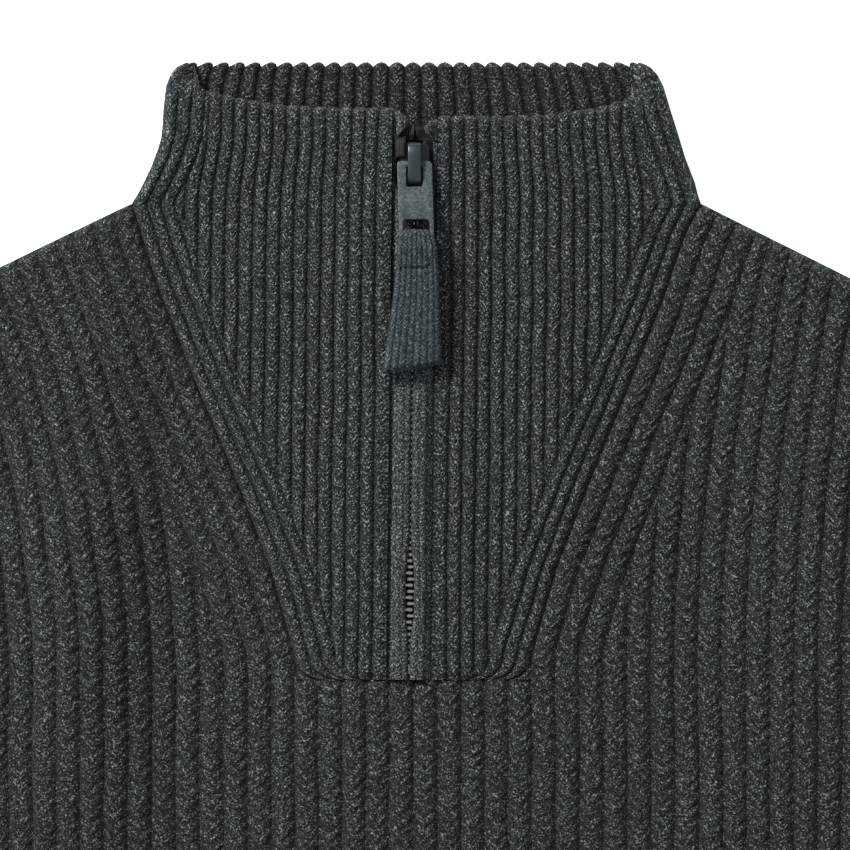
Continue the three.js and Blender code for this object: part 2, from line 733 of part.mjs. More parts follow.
function tapeTop(fromZip, y) {
  const atChain = chainZ(y) + TAPE / 2;
  return lerp(atChain, frontUnder(fromZip, y) - GAP, smooth(fromZip, CHAIN_HALF_WIDTH, 5.6));
}

function zipTape(side) {
  const outs = [CHAIN_HALF_WIDTH, 4.2, 5.6, 9, TAPE_WIDTH];
  const section = (y) => {
    const z = chainZ(y);
    const teeth = y <= TEETH_TOP_Y;
    const rail = teeth ? CHAIN_HALF_HEIGHT : TAPE / 2 + 0.01;
    const first = teeth ? RAIL_IN : y > MEET_Y ? TAPE_MEET : TAPE_EDGE;
    const upper = outs.map((out) => ({ out, z: tapeTop(out, y) }));
    const lower = outs.map((out) => ({ out, z: tapeTop(out, y) - TAPE })).reverse();
    return [
      ...lower,
      { out: CHAIN_HALF_WIDTH - 0.01, z: z - rail },
      { out: first, z: z - rail },
      { out: first, z: z + rail },
      { out: CHAIN_HALF_WIDTH - 0.01, z: z + rail },
      ...upper,
    ];
  };
  const teethEnd = TEETH_TOP_Y + 0.3;
  const ys = [ZIP_FOOT_Y, -60, -20, -8, 0, TEETH_TOP_Y, teethEnd, 13, MEET_Y, MEET_Y + 0.4, TAPE_TOP_Y];
  return carry(section, ys, side);
}

function box(width, depth, height, x, y, z) {
  return new THREE.BoxGeometry(width, depth, height).translate(x, y, z);
}

// A plain shape of an outline and holes, lying flat, from one height to another
function plate(outline, low, high, holes = []) {
  const shape = new THREE.Shape(outline);
  shape.holes.push(...holes.map((hole) => new THREE.Path(hole)));
  const made = new THREE.ExtrudeGeometry(shape, { depth: high - low, bevelEnabled: false });
  return made.translate(0, 0, low);
}

// The corners of an upright box with round corners, between two heights whose widths may differ
function roundedOutline(width, foot, top, radius, footWidth = width) {
  const points = [];
  const corners = [
    { x: footWidth / 2 - radius, y: foot + radius, from: -Math.PI / 2 },
    { x: width / 2 - radius, y: top - radius, from: 0 },
    { x: -width / 2 + radius, y: top - radius, from: Math.PI / 2 },
    { x: -footWidth / 2 + radius, y: foot + radius, from: Math.PI },
  ];
  for (const corner of corners) {
    for (let i = 0; i <= 4; i++) {
      const angle = corner.from + (i * Math.PI) / 8;
      const [x, y] = [corner.x + radius * Math.cos(angle), corner.y + radius * Math.sin(angle)];
      points.push(new THREE.Vector2(x, y));
    }
  }
  return points;
}

// The slider: two plates with flanges and a post, and the bail that holds the pull tab
function slider() {
  const mid = CHAIN_Z + SLIDER_LIFT;
  const inside = CHAIN_HALF_HEIGHT + GAP;
  const top = mid + inside + SLIDER.plate;
  const footWidth = SLIDER.width - SLIDER.taper;
  const outline = roundedOutline(SLIDER.width, SLIDER.foot, SLIDER.top, SLIDER.corner, footWidth);
  const upper = plate(outline, mid + inside, top);
  const lower = plate(outline, mid - inside - SLIDER.plate + 0.1, mid - inside);
  const post = box(POST.width, POST.length, 2 * inside + 0.4, 0, POST.y, mid);
  let solid = toSolid(upper).add(toSolid(lower)).add(toSolid(post));
  for (const sign of [-1, 1]) {
    const x = sign * (SLIDER.width / 2 - FLANGE.in);
    const flange = box(FLANGE.width, FLANGE.length, FLANGE.height, x, FLANGE.y, mid + inside - FLANGE.sink);
    solid = solid.add(toSolid(flange));
  }
  const legs = new THREE.Shape();
  const [foot, back, base, rise] = [BAIL.foot, BAIL.top, top - BAIL.sink, top + BAIL.rise];
  const [footBend, topBend] = [foot + BAIL_BEND.foot, back - BAIL_BEND.top];
  legs.moveTo(foot, base);
  legs.lineTo(foot, rise - BAIL_BEND.down);
  legs.quadraticCurveTo(foot, rise, footBend, rise);
  legs.lineTo(topBend, rise);
  legs.quadraticCurveTo(back, rise, back, base);
  legs.lineTo(back - BAIL.wire, base);
  legs.quadraticCurveTo(back - BAIL.wire, rise - BAIL.wire, topBend, rise - BAIL.wire);
  legs.lineTo(footBend, rise - BAIL.wire);
  legs.quadraticCurveTo(foot + BAIL.wire, rise - BAIL.wire, foot + BAIL.wire, rise - BAIL_BEND.down);
  legs.lineTo(foot + BAIL.wire, base);
  const arch = new THREE.ExtrudeGeometry(legs, { depth: BAIL.width, bevelEnabled: false, curveSegments: 6 });
  // the outline was drawn as along and up, so it is stood up and turned to run along Y
  arch.applyMatrix4(new THREE.Matrix4().set(0, 0, 1, -BAIL.width / 2, 1, 0, 0, 0, 0, 1, 0, 0, 0, 0, 0, 1));
  solid = solid.add(toSolid(arch));
  return fromSolid(solid).translate(SLIDER_X, 0, 0);
}

// The metal pull tab, with the window that the bail passes through and the hole that carries the knit loop.
// It is drawn from the pivot down, as -Y, leaning a little to the right, and then tilted up about the pivot.
function pullTab() {
  const leaning = (points) => points.map((p) => new THREE.Vector2(p.x - PULL.lean * p.y, p.y));
  const outline = leaning(roundedOutline(PULL.width, -PULL.foot, PULL.nose, PULL.corner));
  const hole = leaning(roundedOutline(LOOP_HOLE.width, -LOOP_HOLE.foot, -LOOP_HOLE.top, LOOP_HOLE.corner));
  const opening = roundedOutline(WINDOW.width, -WINDOW.foot, -WINDOW.top, WINDOW.corner);
  return plate(outline, -PULL.thick / 2, PULL.thick / 2, [opening.reverse(), hole.reverse()]);
}

// The knit loop: two layers that pass through the hole round the tab's lowest bar and are sewn together
// below it. Its outline is drawn down the tab and up, with a hole for the bar, and carried across.
function pullLoop() {
  const bar = { top: LOOP_HOLE.foot - LOOP.clear, foot: PULL.foot + LOOP.clear };
  const half = PULL.thick / 2 + GAP;
  const outer = half + LOOP.layer;
  const drop = (s) => -Math.max(0, s - bar.foot) * Math.tan(LOOP_FALL);
  const roundTop = bar.top - LOOP.layer * 0.7;
  const stations = [bar.top - LOOP.layer, roundTop, bar.top, bar.foot, LOOP.join, 38, 48, LOOP.foot];
  const thick = (s) => {
    if (s < bar.top) return outer * 0.82;
    return lerp(outer, LOOP.layer + 0.25, smooth(s, bar.foot, LOOP.join));
  };
  const shape = new THREE.Shape();
  stations.forEach((s, i) => {
    const z = drop(s) + thick(s) * (i === 0 ? 0.45 : 1);
    if (i === 0) shape.moveTo(s, z);
    else shape.lineTo(s, z);
  });
  [...stations].reverse().forEach((s, i) => {
    shape.lineTo(s, drop(s) - thick(s) * (i === stations.length - 1 ? 0.45 : 1));
  });
  shape.closePath();
  shape.holes.push(
    new THREE.Path([
      new THREE.Vector2(bar.top, -half),
      new THREE.Vector2(bar.foot, -half),
      new THREE.Vector2(bar.foot + LOOP.crotch, drop(bar.foot + LOOP.crotch)),
      new THREE.Vector2(bar.foot, half),
      new THREE.Vector2(bar.top, half),
    ])
  );
  const made = new THREE.ExtrudeGeometry(shape, { depth: 1, bevelEnabled: false });
  const at = made.attributes.position;
  for (let i = 0; i < at.count; i++) {
    const [s, z, across] = [at.getX(i), at.getY(i), 0.5 - at.getZ(i)];
    const x = lookUp(LOOP_WIDTH, "s", s, "shift") + across * lookUp(LOOP_WIDTH, "s", s, "width");
    const slant = s > LOOP.foot - 1 ? across * LOOP.slant : 0;
    at.setXYZ(i, x, -s + slant, z);
  }
  return made;
}

function bottomStop() {
  return box(5, 2.4, 2 * CHAIN_HALF_HEIGHT, zipX(ZIP_FOOT_Y), ZIP_FOOT_Y - 1.5, CHAIN_Z);
}

const knit = { body: 0x35393b, collar: 0x3a3e40, band: 0x44484a, tape: 0x1d1f20, loop: 0x3f464a };
const metal = { slider: 0x4a5052, pull: 0x5a6467, teeth: 0x8b8f90 };

const sweater = new THREE.Group();

function add(name, shape, look, parent = sweater) {
  const mesh = new THREE.Mesh(shape, look);
  mesh.name = name;
  parent.add(mesh);
}

const sleeveDowns = [0, 0.12, 0.27, 0.45, 0.65, 0.85, 1];
const cuffDowns = [0, 0.35, 0.97, 1];

add("body_front", bodyFront(), material(knit.body, 0.95));
add("body_back", bodyBack(), material(knit.body, 0.95));
add("hem_front", hem(true), material(knit.collar, 0.95));
add("hem_back", hem(false), material(knit.collar, 0.95));
for (const side of ["left", "right"]) {
  const sleeve = flattenedTube(sleevePoint, sleeveDowns, SLEEVE_RIBS, BODY_RELIEF, side);
  add(`sleeve_${side}`, sleeve, material(knit.body, 0.95));
  const cuff = flattenedTube(cuffPoint, cuffDowns, CUFF_RIBS, TRIM_RELIEF, side);
  add(`cuff_${side}`, cuff, material(knit.collar, 0.95));
  add(`collar_yoke_${side}`, collarYoke(side), material(knit.collar, 0.95));
  add(`zip_band_${side}`, band(side), material(knit.band, 0.95));
  add(`zip_tape_${side}`, zipTape(side), material(knit.tape, 0.9));
}
add("collar_back", collarBack(), material(knit.collar, 0.95));
add("zip_bottom_stop", bottomStop(), material(metal.teeth, 0.4, 1));
add("zip_slider", slider(), material(metal.slider, 0.35, 1));

const pull = new THREE.Group();
pull.position.set(SLIDER_X, PIVOT.y, PIVOT.z);
pull.rotation.x = -PULL_TILT;
add("pull_tab", pullTab(), material(metal.pull, 0.55, 0.3), pull);
add("pull_loop", pullLoop(), material(knit.loop, 0.95), pull);
sweater.add(pull);

// The origin is the middle of the underside.
const extent = new THREE.Box3().setFromObject(sweater, true);
sweater.position.set(-(extent.min.x + extent.max.x) / 2, -(extent.min.y + extent.max.y) / 2, -extent.min.z);

export default sweater;
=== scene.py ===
"""Quarter zip sweater for a small child, laid flat with its front up: the knit, the zip and the pull.

Plan sizes are millimetres, as a maker would measure them. X is 0 on the middle of the chest, Y is 0 where
the shoulders meet the collar, and Z is 0 on the floor. put() moves them into the frame, in metres.
"""
import math

import bpy
import numpy as np
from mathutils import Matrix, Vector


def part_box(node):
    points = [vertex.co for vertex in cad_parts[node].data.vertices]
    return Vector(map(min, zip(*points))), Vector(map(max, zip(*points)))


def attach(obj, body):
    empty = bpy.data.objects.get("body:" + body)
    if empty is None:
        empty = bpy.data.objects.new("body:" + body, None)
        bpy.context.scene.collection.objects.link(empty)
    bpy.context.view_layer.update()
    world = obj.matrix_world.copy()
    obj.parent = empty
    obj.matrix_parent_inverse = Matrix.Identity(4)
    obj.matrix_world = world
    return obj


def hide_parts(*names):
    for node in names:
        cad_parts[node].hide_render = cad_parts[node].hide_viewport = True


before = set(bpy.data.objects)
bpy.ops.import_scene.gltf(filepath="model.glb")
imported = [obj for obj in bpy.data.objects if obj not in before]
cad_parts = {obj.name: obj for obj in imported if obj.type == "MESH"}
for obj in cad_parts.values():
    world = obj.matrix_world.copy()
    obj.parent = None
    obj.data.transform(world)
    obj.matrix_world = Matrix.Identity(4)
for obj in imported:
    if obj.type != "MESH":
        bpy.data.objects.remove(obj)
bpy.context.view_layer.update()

MM = 0.001

# Layers
GAP = 0.3  # between pieces that are sewn together
BACK_TOP = 3.0
FRONT_UNDER = BACK_TOP + GAP
WALL = 2.4  # the front's cloth between its ribs
BODY_RELIEF = 1.35  # how far a body rib stands up
TRIM_RELIEF = 1.0  # how far a rib of collar, hem or cuff stands up
HUMP = 0.84  # how much of a rib's pitch its hump fills
EDGE_SOFTEN = 1.3  # how far a ribbed panel's free edge is rounded down
PLAIN_SOFTEN = 0.9  # the same on the plain back
ROLL = 6  # over what width
SEAM_SINK = 0.6  # how far a panel turns in at a linked seam
SEAM_ROUND = 2.0  # over what width
SEAM_LEAN = 0.145  # how far its rim leans over the gap
RIM_LEAN = 0.29  # the same where only one of two pieces leans

# Ribs and stitches: the ribs' pitch, a stitch's height, how many stitches a leg climbs to the rib's edge, the
# points to a half rib and to a stitch, and how far rib, stitch and fuzz stand up
KNIT_VALUES = ("rib", "row", "climb", "parts", "relief", "stitch", "fuzz")
BODY_KNIT = dict(zip(KNIT_VALUES, (6.3, 3.25, 1, 3, BODY_RELIEF, 0.45, 0.2)))
TRIM_KNIT = dict(zip(KNIT_VALUES, (3.65, 1.28, 2, 3, TRIM_RELIEF, 0.24, 0.12)))
EDGE_KNIT = dict(zip(KNIT_VALUES, (3.65, 1.6, 1, 2, TRIM_RELIEF, 0.26, 0.08)))
INNER_KNIT = dict(zip(KNIT_VALUES, (4.5, 1.4, 2, 3, 1.0, 0.26, 0.12)))
JERSEY_KNIT = dict(zip(KNIT_VALUES, (1.87, 1.3, 1, 2, 0.22, 0.16, 0.07)))
LOOP_KNIT = dict(zip(KNIT_VALUES, (1.83, 1.1, 1, 2, 0.3, 0.1, 0.02)))
BORDER_RIBS = 3  # the ribs that run along the yoke's seam
RIB_TABLE = 97  # random values repeat after so many ribs
STITCH_TABLE = 101  # and after so many stitches
LATTICE = 64  # and after so many squares of slow waviness

# The cloth's slow folds: height, middle and width across, middle and length down
FOLDS = (
    (3.6, -88, 14, -110, 62),
    (-2.4, -56, 14, -100, 48),
    (3.6, 114, 18, -85, 75),
    (-1.6, 78, 12, -85, 65),
)

# Body
CHEST = {"left": 165, "right": 167}
SHOULDER_END = 126
SHOULDER_DROP = 25
UNDERARM_Y = -198
EDGE_Y = [-198, -193, -187, -179, -170, -97, -75, -50, -25]
ACROSS = {"left": 111, "right": 117}
ARMHOLE_FOOT_Y = -170
ARMHOLE_BEND_Y = -97
HEM_TOP_Y = -350
HEM_Y = -400
HEM_PULL = 7
BACK_NECK_DROP = 12

# Yoke and collar
YOKE_FOOT_Y = -126.4
YOKE_CORNER_Y = -119
YOKE_CORNER_HALF = 25.2
YOKE_FOOT_HALF = 31.5
CORNER_COLUMN = 8  # the half rib at the end of the yoke's straight foot
COLLAR_TOP_Y = 37.4
COLLAR_FRONT = {
    "left": {"y": 25.4, "rise": 6.1, "power": 3.6},
    "right": {"y": 23.2, "rise": 5.4, "power": 4.6},
}
FOLD_INNER = 58  # where the front's edge goes over into the fold
FOLD_COLUMNS = 4  # half ribs in a fold
FOLD_ROUND = 2.4  # half ribs over which a fold turns down
FOLD_STEP = 2.2  # how far a fold's inner edge falls, from the front's top edge up
TOP_ROUND = 2.8  # over what height the front's top edge rounds over
TOP_DROP = 2.5  # and how far
BACK_CLEAR = 0.55
LEAN = {"left": 30, "right": 14.6}
SEAM_Y = [-119, -97, -75, -50, -25, -17, -8, 0]
SEAM_HALF = {
    "left": [31.5, 37.6, 46.0, 56.5, 66.4, 69.2, 71.9, 74.3],
    "right": [31.5, 37.6, 46.1, 56.3, 66.3, 68.9, 72.2, 76.2],
}
FOLD_Y = [0, 5.6, 12, 18.3, 24.6, 31, 34.2, 36.35, 37.4]
FOLD_HALF = {
    "left": [74.3, 71.4, 68.4, 66.6, 66.3, 65.6, 64.4, 62.6, 60.2],
    "right": [76.2, 74.8, 72.3, 70.4, 68.4, 66.5, 64.9, 62.9, 60.4],
}

# Sleeves
SLEEVE_ANGLE = math.radians(40)
SLEEVE_LENGTH = 150
UPPER_ARM_HALF = 57.5
WRIST_HALF = 44
CUFF_LENGTH = 45
CUFF_HALF = {"seam": 41, "edge": 38}
SLEEVE_BEND = {"outer": (232, -85), "inner": (202, -210)}
SLEEVE_RIBS = 17
CUFF_RIBS = 21
TUBE_FOLD_Z = 2.9  # the height of a tube's fold
TUBE_FOLD = 3.2  # its radius
TUBE_WALL = 3.4  # its cloth at the folds

# Zip
ZIP_X = {"top": 0.5, "foot": -1.06}
ZIP_TOP_Y = 16
ZIP_FOOT_Y = -122
CHAIN_Z = 4.75
CHAIN_HALF_WIDTH = 2.9
TEETH_TOP_Y = 6.5
TOOTH_PITCH = 3.25
TAPE_WIDTH = 13
TAPE = 0.7
TAPE_TOP_Y = {"left": 20.8, "right": 20.2}
TAPE_EDGE = 2.2
TAPE_MEET = 0.3
MEET_Y = 16.4
BAND_OUTER = 5.9
BAND_WALL = 1.6
BAND_OVER_TEETH = 1.9
BAND_DIP = 2.2
BAND_GAP = {"closed": 0.16, "parted": 1.1, "open": 4.8, "left": 1.9, "right": 2.5}
SLIDER_LIFT = 1.0

# Slider, pull tab and loop
SLIDER_X = 0.4
SLIDER = {"width": 8.2, "foot": 4.4, "top": 15.8, "plate": 0.8, "mouth": 1.55}
BAIL = {"width": 3.6, "foot": 4.6, "top": 16.0, "rise": 3.85, "wire": 1.1}
PIVOT = {"y": 10.2, "z": 9.55}
PULL = {"width": 9.3, "foot": 22.2, "thick": 1.6, "nose": 0.7, "corner": 1.1, "lean": 0.03}
TILT = math.radians(6.5)
WINDOW = {"width": 4.3, "top": 0.75, "foot": 6.2}
LOOP_HOLE = {"width": 7.0, "top": 14.9, "foot": 19.7}
LOOP = {"layer": 1.7, "foot": 53.9, "slant": 2.5, "join": 27, "bar": 0.35, "fall": math.radians(9.8)}
# Width and shift of the loop by the way down the tab, and the width of its face, which narrows at the tab
LOOP_S = [15, 20.2, 22.6, 36, 60]
LOOP_WIDE = [6.2, 6.3, 10.2, 12.5, 16.8]
LOOP_SHIFT = [0.5, 0.6, 0.8, 0.5, -1.0]
FRONT_S = [15, 17.9, 19.3, 22.6, 36, 60]
FRONT_WIDE = [5.9, 6.2, 9.4, 10.6, 12.5, 16.8]
SEWN_S = 28.0  # where the two layers are sewn together

# A zip tooth from its clamp to its head: the way from the zip's middle, half widths and half heights
TOOTH_OUT = [4.1, 4.05, 2.6, 1.4, 0.4, -0.45, -0.95, -1.1]
TOOTH_WIDE = [0.4, 0.72, 0.72, 0.55, 0.62, 0.66, 0.5, 0.2]
TOOTH_TALL = [0.7, 1.15, 1.2, 0.95, 1.0, 1.0, 0.85, 0.4]

# The photo's frame: it is 850 pixels wide, one pixel is 0.265 mm, and its middle lies here in plan
PHOTO_WIDTH = 850 * 0.265
SENSOR = 36
PHOTO_MIDDLE = (3.18, -58.83)
CAMERA_HEIGHT = 1500
FLOOR_GLOW = 0.8

SIGN = {"left": -1, "right": 1}

body_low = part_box("body_front")[0]
SHIFT = np.array([body_low[0] / MM + CHEST["left"], body_low[1] / MM - HEM_TOP_Y, 0])


def smooth(v, start, end):
    """0 before start, 1 after end, and t*t*(3-2t) between them."""
    t = np.clip((v - start) / (end - start), 0, 1)
    return t * t * (3 - 2 * t)


def mix(a, b, t):
    """a where t is 0, b where t is 1."""
    return a + (b - a) * t


def quarter(distance, radius):
    """A quarter circle: 0 at an edge, sqrt(1 - (1 - t)^2) on the way and 1 from its radius inwards."""
    return np.sqrt(np.clip(1 - (1 - np.clip(distance / radius, 0, 1)) ** 2, 0, 1))


def drift(x, y, size, seed):
    """Slow waviness from -1 to 1: random heights on a square lattice of that size, joined by smooth steps."""
    table = np.random.default_rng(seed).uniform(-1, 1, (LATTICE, LATTICE))
    gx, gy = np.broadcast_arrays(np.asarray(x, float) / size, np.asarray(y, float) / size)
    ix, iy = np.floor(gx).astype(int), np.floor(gy).astype(int)
    tx, ty = smooth(gx - ix, 0, 1), smooth(gy - iy, 0, 1)
    left, right, foot, head = ix % LATTICE, (ix + 1) % LATTICE, iy % LATTICE, (iy + 1) % LATTICE
    low = mix(table[foot, left], table[foot, right], tx)
    high = mix(table[head, left], table[head, right], tx)
    return mix(low, high, ty)


def every(count, step):
    """Flags for every step-th number below count, and for the last one."""
    flags = np.arange(count) % step == 0
    flags[-1] = True
    return flags


def rim(ids):
    """A grid's outline, anticlockwise."""
    return np.concatenate([ids[0, :-1], ids[:-1, -1], ids[-1, :0:-1], ids[:0:-1, 0]])


def closed(ids):
    """A ring's columns with the first one again at the end."""
    return np.concatenate([ids, ids[:, :1]], 1)


def put(points):
    """Plan millimetres to metres in the frame."""
    return (np.asarray(points, float) + SHIFT) * MM


class Shell:
    """Gathers grids of points and triangles, welds points at one place and makes one closed mesh of them."""

    def __init__(self):
        self.points = []
        self.uvs = []
        self.faces = []
        self.count = 0

    def grid(self, x, y, z, u=0.0, v=0.0):
        """Adds a grid of points with the knit's coordinates u and v in millimetres. Returns their numbers."""
        x, y, z, u, v = np.broadcast_arrays(x, y, z, u, v)
        ids = np.arange(x.size).reshape(x.shape) + self.count
        self.count += x.size
        self.points.append(np.stack([x, y, z], -1).reshape(-1, 3))
        self.uvs.append(np.stack([u, v], -1).reshape(-1, 2))
        return ids

    def skin(self, ids, slope=None, turned=False):
        """Two triangles for each cell of a grid whose rows go up and whose columns go right. slope says, for
        each column of cells, whether its diagonal climbs to the right."""
        a, b, d, e = ids[:-1, :-1], ids[:-1, 1:], ids[1:, :-1], ids[1:, 1:]
        up = np.ones(a.shape, bool) if slope is None else np.broadcast_to(slope, a.shape)
        first = np.where(up[..., None], np.stack([a, b, e], -1), np.stack([a, b, d], -1))
        second = np.where(up[..., None], np.stack([a, e, d], -1), np.stack([b, e, d], -1))
        made = np.concatenate([first.reshape(-1, 3), second.reshape(-1, 3)])
        self.faces.append(made[:, ::-1] if turned else made)

    def knit_skin(self, ids, number, way=1):
        """Skins a knitted grid whose columns run right (way 1) or left (way -1), its diagonals on legs."""
        slope = rising(number)
        self.skin(ids[:, ::way], slope if way > 0 else ~slope[::-1])

    def cap(self, row, turned):
        """Closes a convex ring of points with a fan of triangles."""
        fan = np.stack([np.full(len(row) - 2, row[0]), row[1:-1], row[2:]], -1)
        self.faces.append(fan[:, ::-1] if turned else fan)

    def ring_ends(self, outer, inner, turned=False):
        """Closes both ends between an outer tube and an inner one."""
        for row in (0, -1):
            self.skin(closed(np.stack([outer[row], inner[row]])), turned=(row == 0) != turned)

    def wall(self, upper, lower, marks):
        """Closes the way between an upper rim and a lower one that has a point only at the marked upper ones.
        Both are loops with the piece on their left."""
        section = np.cumsum(marks) - 1
        self.faces.append(np.stack([np.roll(upper, -1), upper, lower[section]], -1))
        self.faces.append(np.stack([np.roll(upper[marks], -1), lower, np.roll(lower, -1)], -1))

    def piece(self, name, angle=62):
        """Welds, drops triangles with no area left and makes the object. angle is where edges turn sharp."""
        points = np.concatenate(self.points)
        uvs = np.concatenate(self.uvs)
        faces = np.concatenate(self.faces)
        keys = np.round(points * 5000).astype(np.int64)
        _, first, where = np.unique(keys, axis=0, return_index=True, return_inverse=True)
        welded = where.reshape(-1)[faces]
        whole = (np.diff(np.sort(welded, 1), axis=1) > 0).all(1)
        return make_mesh(name, put(points[first]), welded[whole], uvs[faces[whole]].reshape(-1, 2), angle)


def add_object(name, data):
    """A new object in the scene."""
    made = bpy.data.objects.new(name, data)
    bpy.context.scene.collection.objects.link(made)
    return made


def mesh_arrays(mesh):
    """A mesh's points and its triangles."""
    at = np.empty(len(mesh.vertices) * 3, np.float32)
    mesh.vertices.foreach_get("co", at)
    mesh.calc_loop_triangles()
    triangles = np.empty(len(mesh.loop_triangles) * 3, np.int32)
    mesh.loop_triangles.foreach_get("vertices", triangles)
    return at.reshape(-1, 3), triangles.reshape(-1, 3)


def make_mesh(name, points, triangles, corner_uvs=None, angle=62):
    """A mesh object at the origin from points in metres and triangles, smooth but for its sharp edges."""
    mesh = bpy.data.meshes.new(name)
    mesh.vertices.add(len(points))
    mesh.vertices.foreach_set("co", np.asarray(points, np.float32).ravel())
    mesh.loops.add(triangles.size)
    mesh.loops.foreach_set("vertex_index", np.asarray(triangles, np.int32).ravel())
    mesh.polygons.add(len(triangles))
    mesh.polygons.foreach_set("loop_start", np.arange(len(triangles), dtype=np.int32) * 3)
    mesh.update(calc_edges=True)
    if corner_uvs is not None:
        layer = mesh.uv_layers.new(name="knit")
        layer.uv.foreach_set("vector", np.asarray(corner_uvs, np.float32).ravel())
    mesh.validate()
    mesh.shade_smooth()
    mesh.set_sharp_from_angle(angle=math.radians(angle))
    return add_object(name, mesh)


# Knit

def across_rib(number):
    """How far a column is from its rib's crest: 0 on the crest, at odd numbers, and 1 in the groove."""
    return np.abs(np.mod(number, 2) - 1)


def rib_form(across):
    """A rib's section: a round hump with a slight dent along its crest, where a stitch's two legs meet."""
    hump = np.sqrt(np.clip(1 - np.power(across / HUMP, 2.4), 0, 1))
    return hump - 0.12 * (1 - smooth(across, 0, 0.34))


def stitch_turn(number, y, across, knit, seed):
    """Which stitch a point is on, counted up the rib: the legs climb from the crest to the rib's edge. Each
    rib starts at a height of its own, and its stitches are drawn up or down a little along it."""
    rib = np.floor(np.asarray(number) / 2).astype(int)
    start = np.random.default_rng(seed).uniform(0, 1, RIB_TABLE)[rib % RIB_TABLE]
    return y / knit["row"] - knit["climb"] * across + start + 0.3 * drift(rib * 7.3, y, 11, seed)


def stitch_form(turn, across):
    """A leg of yarn: high in its middle, low where it meets the next, and sunk at the rib's edge."""
    return (0.5 - 0.5 * np.cos(2 * np.pi * turn)) * (1 - np.power(across, 3))


def uneven(number, turn, seed):
    """Each stitch is a little higher or lower than the next: 0.45 to 1.45, one value a stitch."""
    table = np.random.default_rng(seed).uniform(0.45, 1.45, (RIB_TABLE, STITCH_TABLE))
    rib = np.floor(np.asarray(number) / 2).astype(int)
    rib, turn = np.broadcast_arrays(rib, np.floor(turn).astype(int))
    return table[rib % RIB_TABLE, turn % STITCH_TABLE]


def scatter(number, y, seed):
    """An unordered value from -1 to 1 for each point: the broken part of a large sine."""
    wave = np.sin(number * 127.1 + y * 311.7 + seed * 17.3) * 43758.5453
    return 2 * (wave - np.floor(wave)) - 1


def relief(number, y, knit, seed):
    """How far a rib with its stitches and its fuzz stands over the plain wall, and the stitch coordinate."""
    across = across_rib(number)
    turn = stitch_turn(number, y, across, knit, seed)
    leg = stitch_form(turn, across) * uneven(number, turn, seed) - 0.5 * (across < 1)
    fuzz = scatter(number, y, seed) * (across < 1)
    return knit["relief"] * rib_form(across) + knit["stitch"] * leg + knit["fuzz"] * fuzz, turn * knit["row"]


def columns(first, last, knit):
    """Column numbers in half ribs, with the knit's parts to each half rib."""
    return np.arange(round(first * knit["parts"]), round(last * knit["parts"]) + 1) / knit["parts"]


def rising(number):
    """Whether a cell's diagonal follows the leg: up to the right on the right half of a rib."""
    return np.mod((number[1:] + number[:-1]) / 2, 2) > 1


def rows_between(low, high, step):
    """Heights from low to high, one step apart, with high itself last."""
    return np.append(np.arange(low, high - step * 0.4, step), high)


def undulate(x, y):
    """The cloth's slow rise and fall where it lies: a fall on both sides of the zip, a fold towards each
    shoulder, each height * exp(-(across / width)^2 - (down / length)^2), and loose waves. There is none at
    the hem, and none out on the sleeves."""
    wide = np.abs(x)
    loose = 0.9 + drift(x + 300, y + 500, 52, 5) + 0.6 * drift(x + 340, y + 460, 27, 6)
    for height, mid_x, width, mid_y, length in FOLDS:
        loose = loose + height * np.exp(-(((x - mid_x) / width) ** 2) - (((y - mid_y) / length) ** 2))
    crown = -1.5 * smooth(wide, 14, 60) * (1 - smooth(wide, 60, 84))
    lying = (1 - smooth(wide, 116, 155)) * smooth(y, HEM_TOP_Y, HEM_TOP_Y + 50)
    return lying * np.maximum(smooth(wide, 14, 45) * loose + crown, -1.3)


# Outlines shared by the pieces

def edge_half(y, side):
    """Half the garment's width: side, underarm, armhole and shoulder, on two power curves."""
    across, rows = ACROSS[side], np.array(EDGE_Y, float)
    under = np.clip((ARMHOLE_FOOT_Y - rows) / (ARMHOLE_FOOT_Y - UNDERARM_Y), 0, 1) ** 1.4
    top = np.clip((rows - ARMHOLE_BEND_Y) / (-SHOULDER_DROP - ARMHOLE_BEND_Y), 0, 1) ** 1.6
    half = across + (CHEST[side] - across) * under + (SHOULDER_END - across) * top
    return np.interp(y, np.append(rows, 0), np.append(half, SEAM_HALF[side][-1]))


def seam_half(y, side):
    """Half the yoke's width at its seam: a quarter ellipse at the corner, then the slanted line."""
    t = np.clip((YOKE_CORNER_Y - y) / (YOKE_CORNER_Y - YOKE_FOOT_Y), 0, 1)
    corner = YOKE_CORNER_HALF + (YOKE_FOOT_HALF - YOKE_CORNER_HALF) * np.sqrt(1 - t * t)
    return np.where(y < YOKE_CORNER_Y, corner, np.interp(y, SEAM_Y, SEAM_HALF[side]))


def zip_x(y):
    """Where the zip's middle is: it leans a little."""
    return mix(ZIP_X["foot"], ZIP_X["top"], np.clip((y - ZIP_FOOT_Y) / (ZIP_TOP_Y - ZIP_FOOT_Y), 0, 1.3))


def slider_lift(y):
    """How far the slider lifts the zip."""
    return SLIDER_LIFT * smooth(y, -18, 6)


def front_under(from_zip, y):
    """The front's underside, raised where it lies on the zip tape."""
    over_tape = (TAPE + GAP + 0.1) * (1 - smooth(from_zip, TAPE_WIDTH, TAPE_WIDTH + 9))
    return FRONT_UNDER + over_tape + slider_lift(y) * (1 - smooth(from_zip, 5, TAPE_WIDTH + 1))


# Body

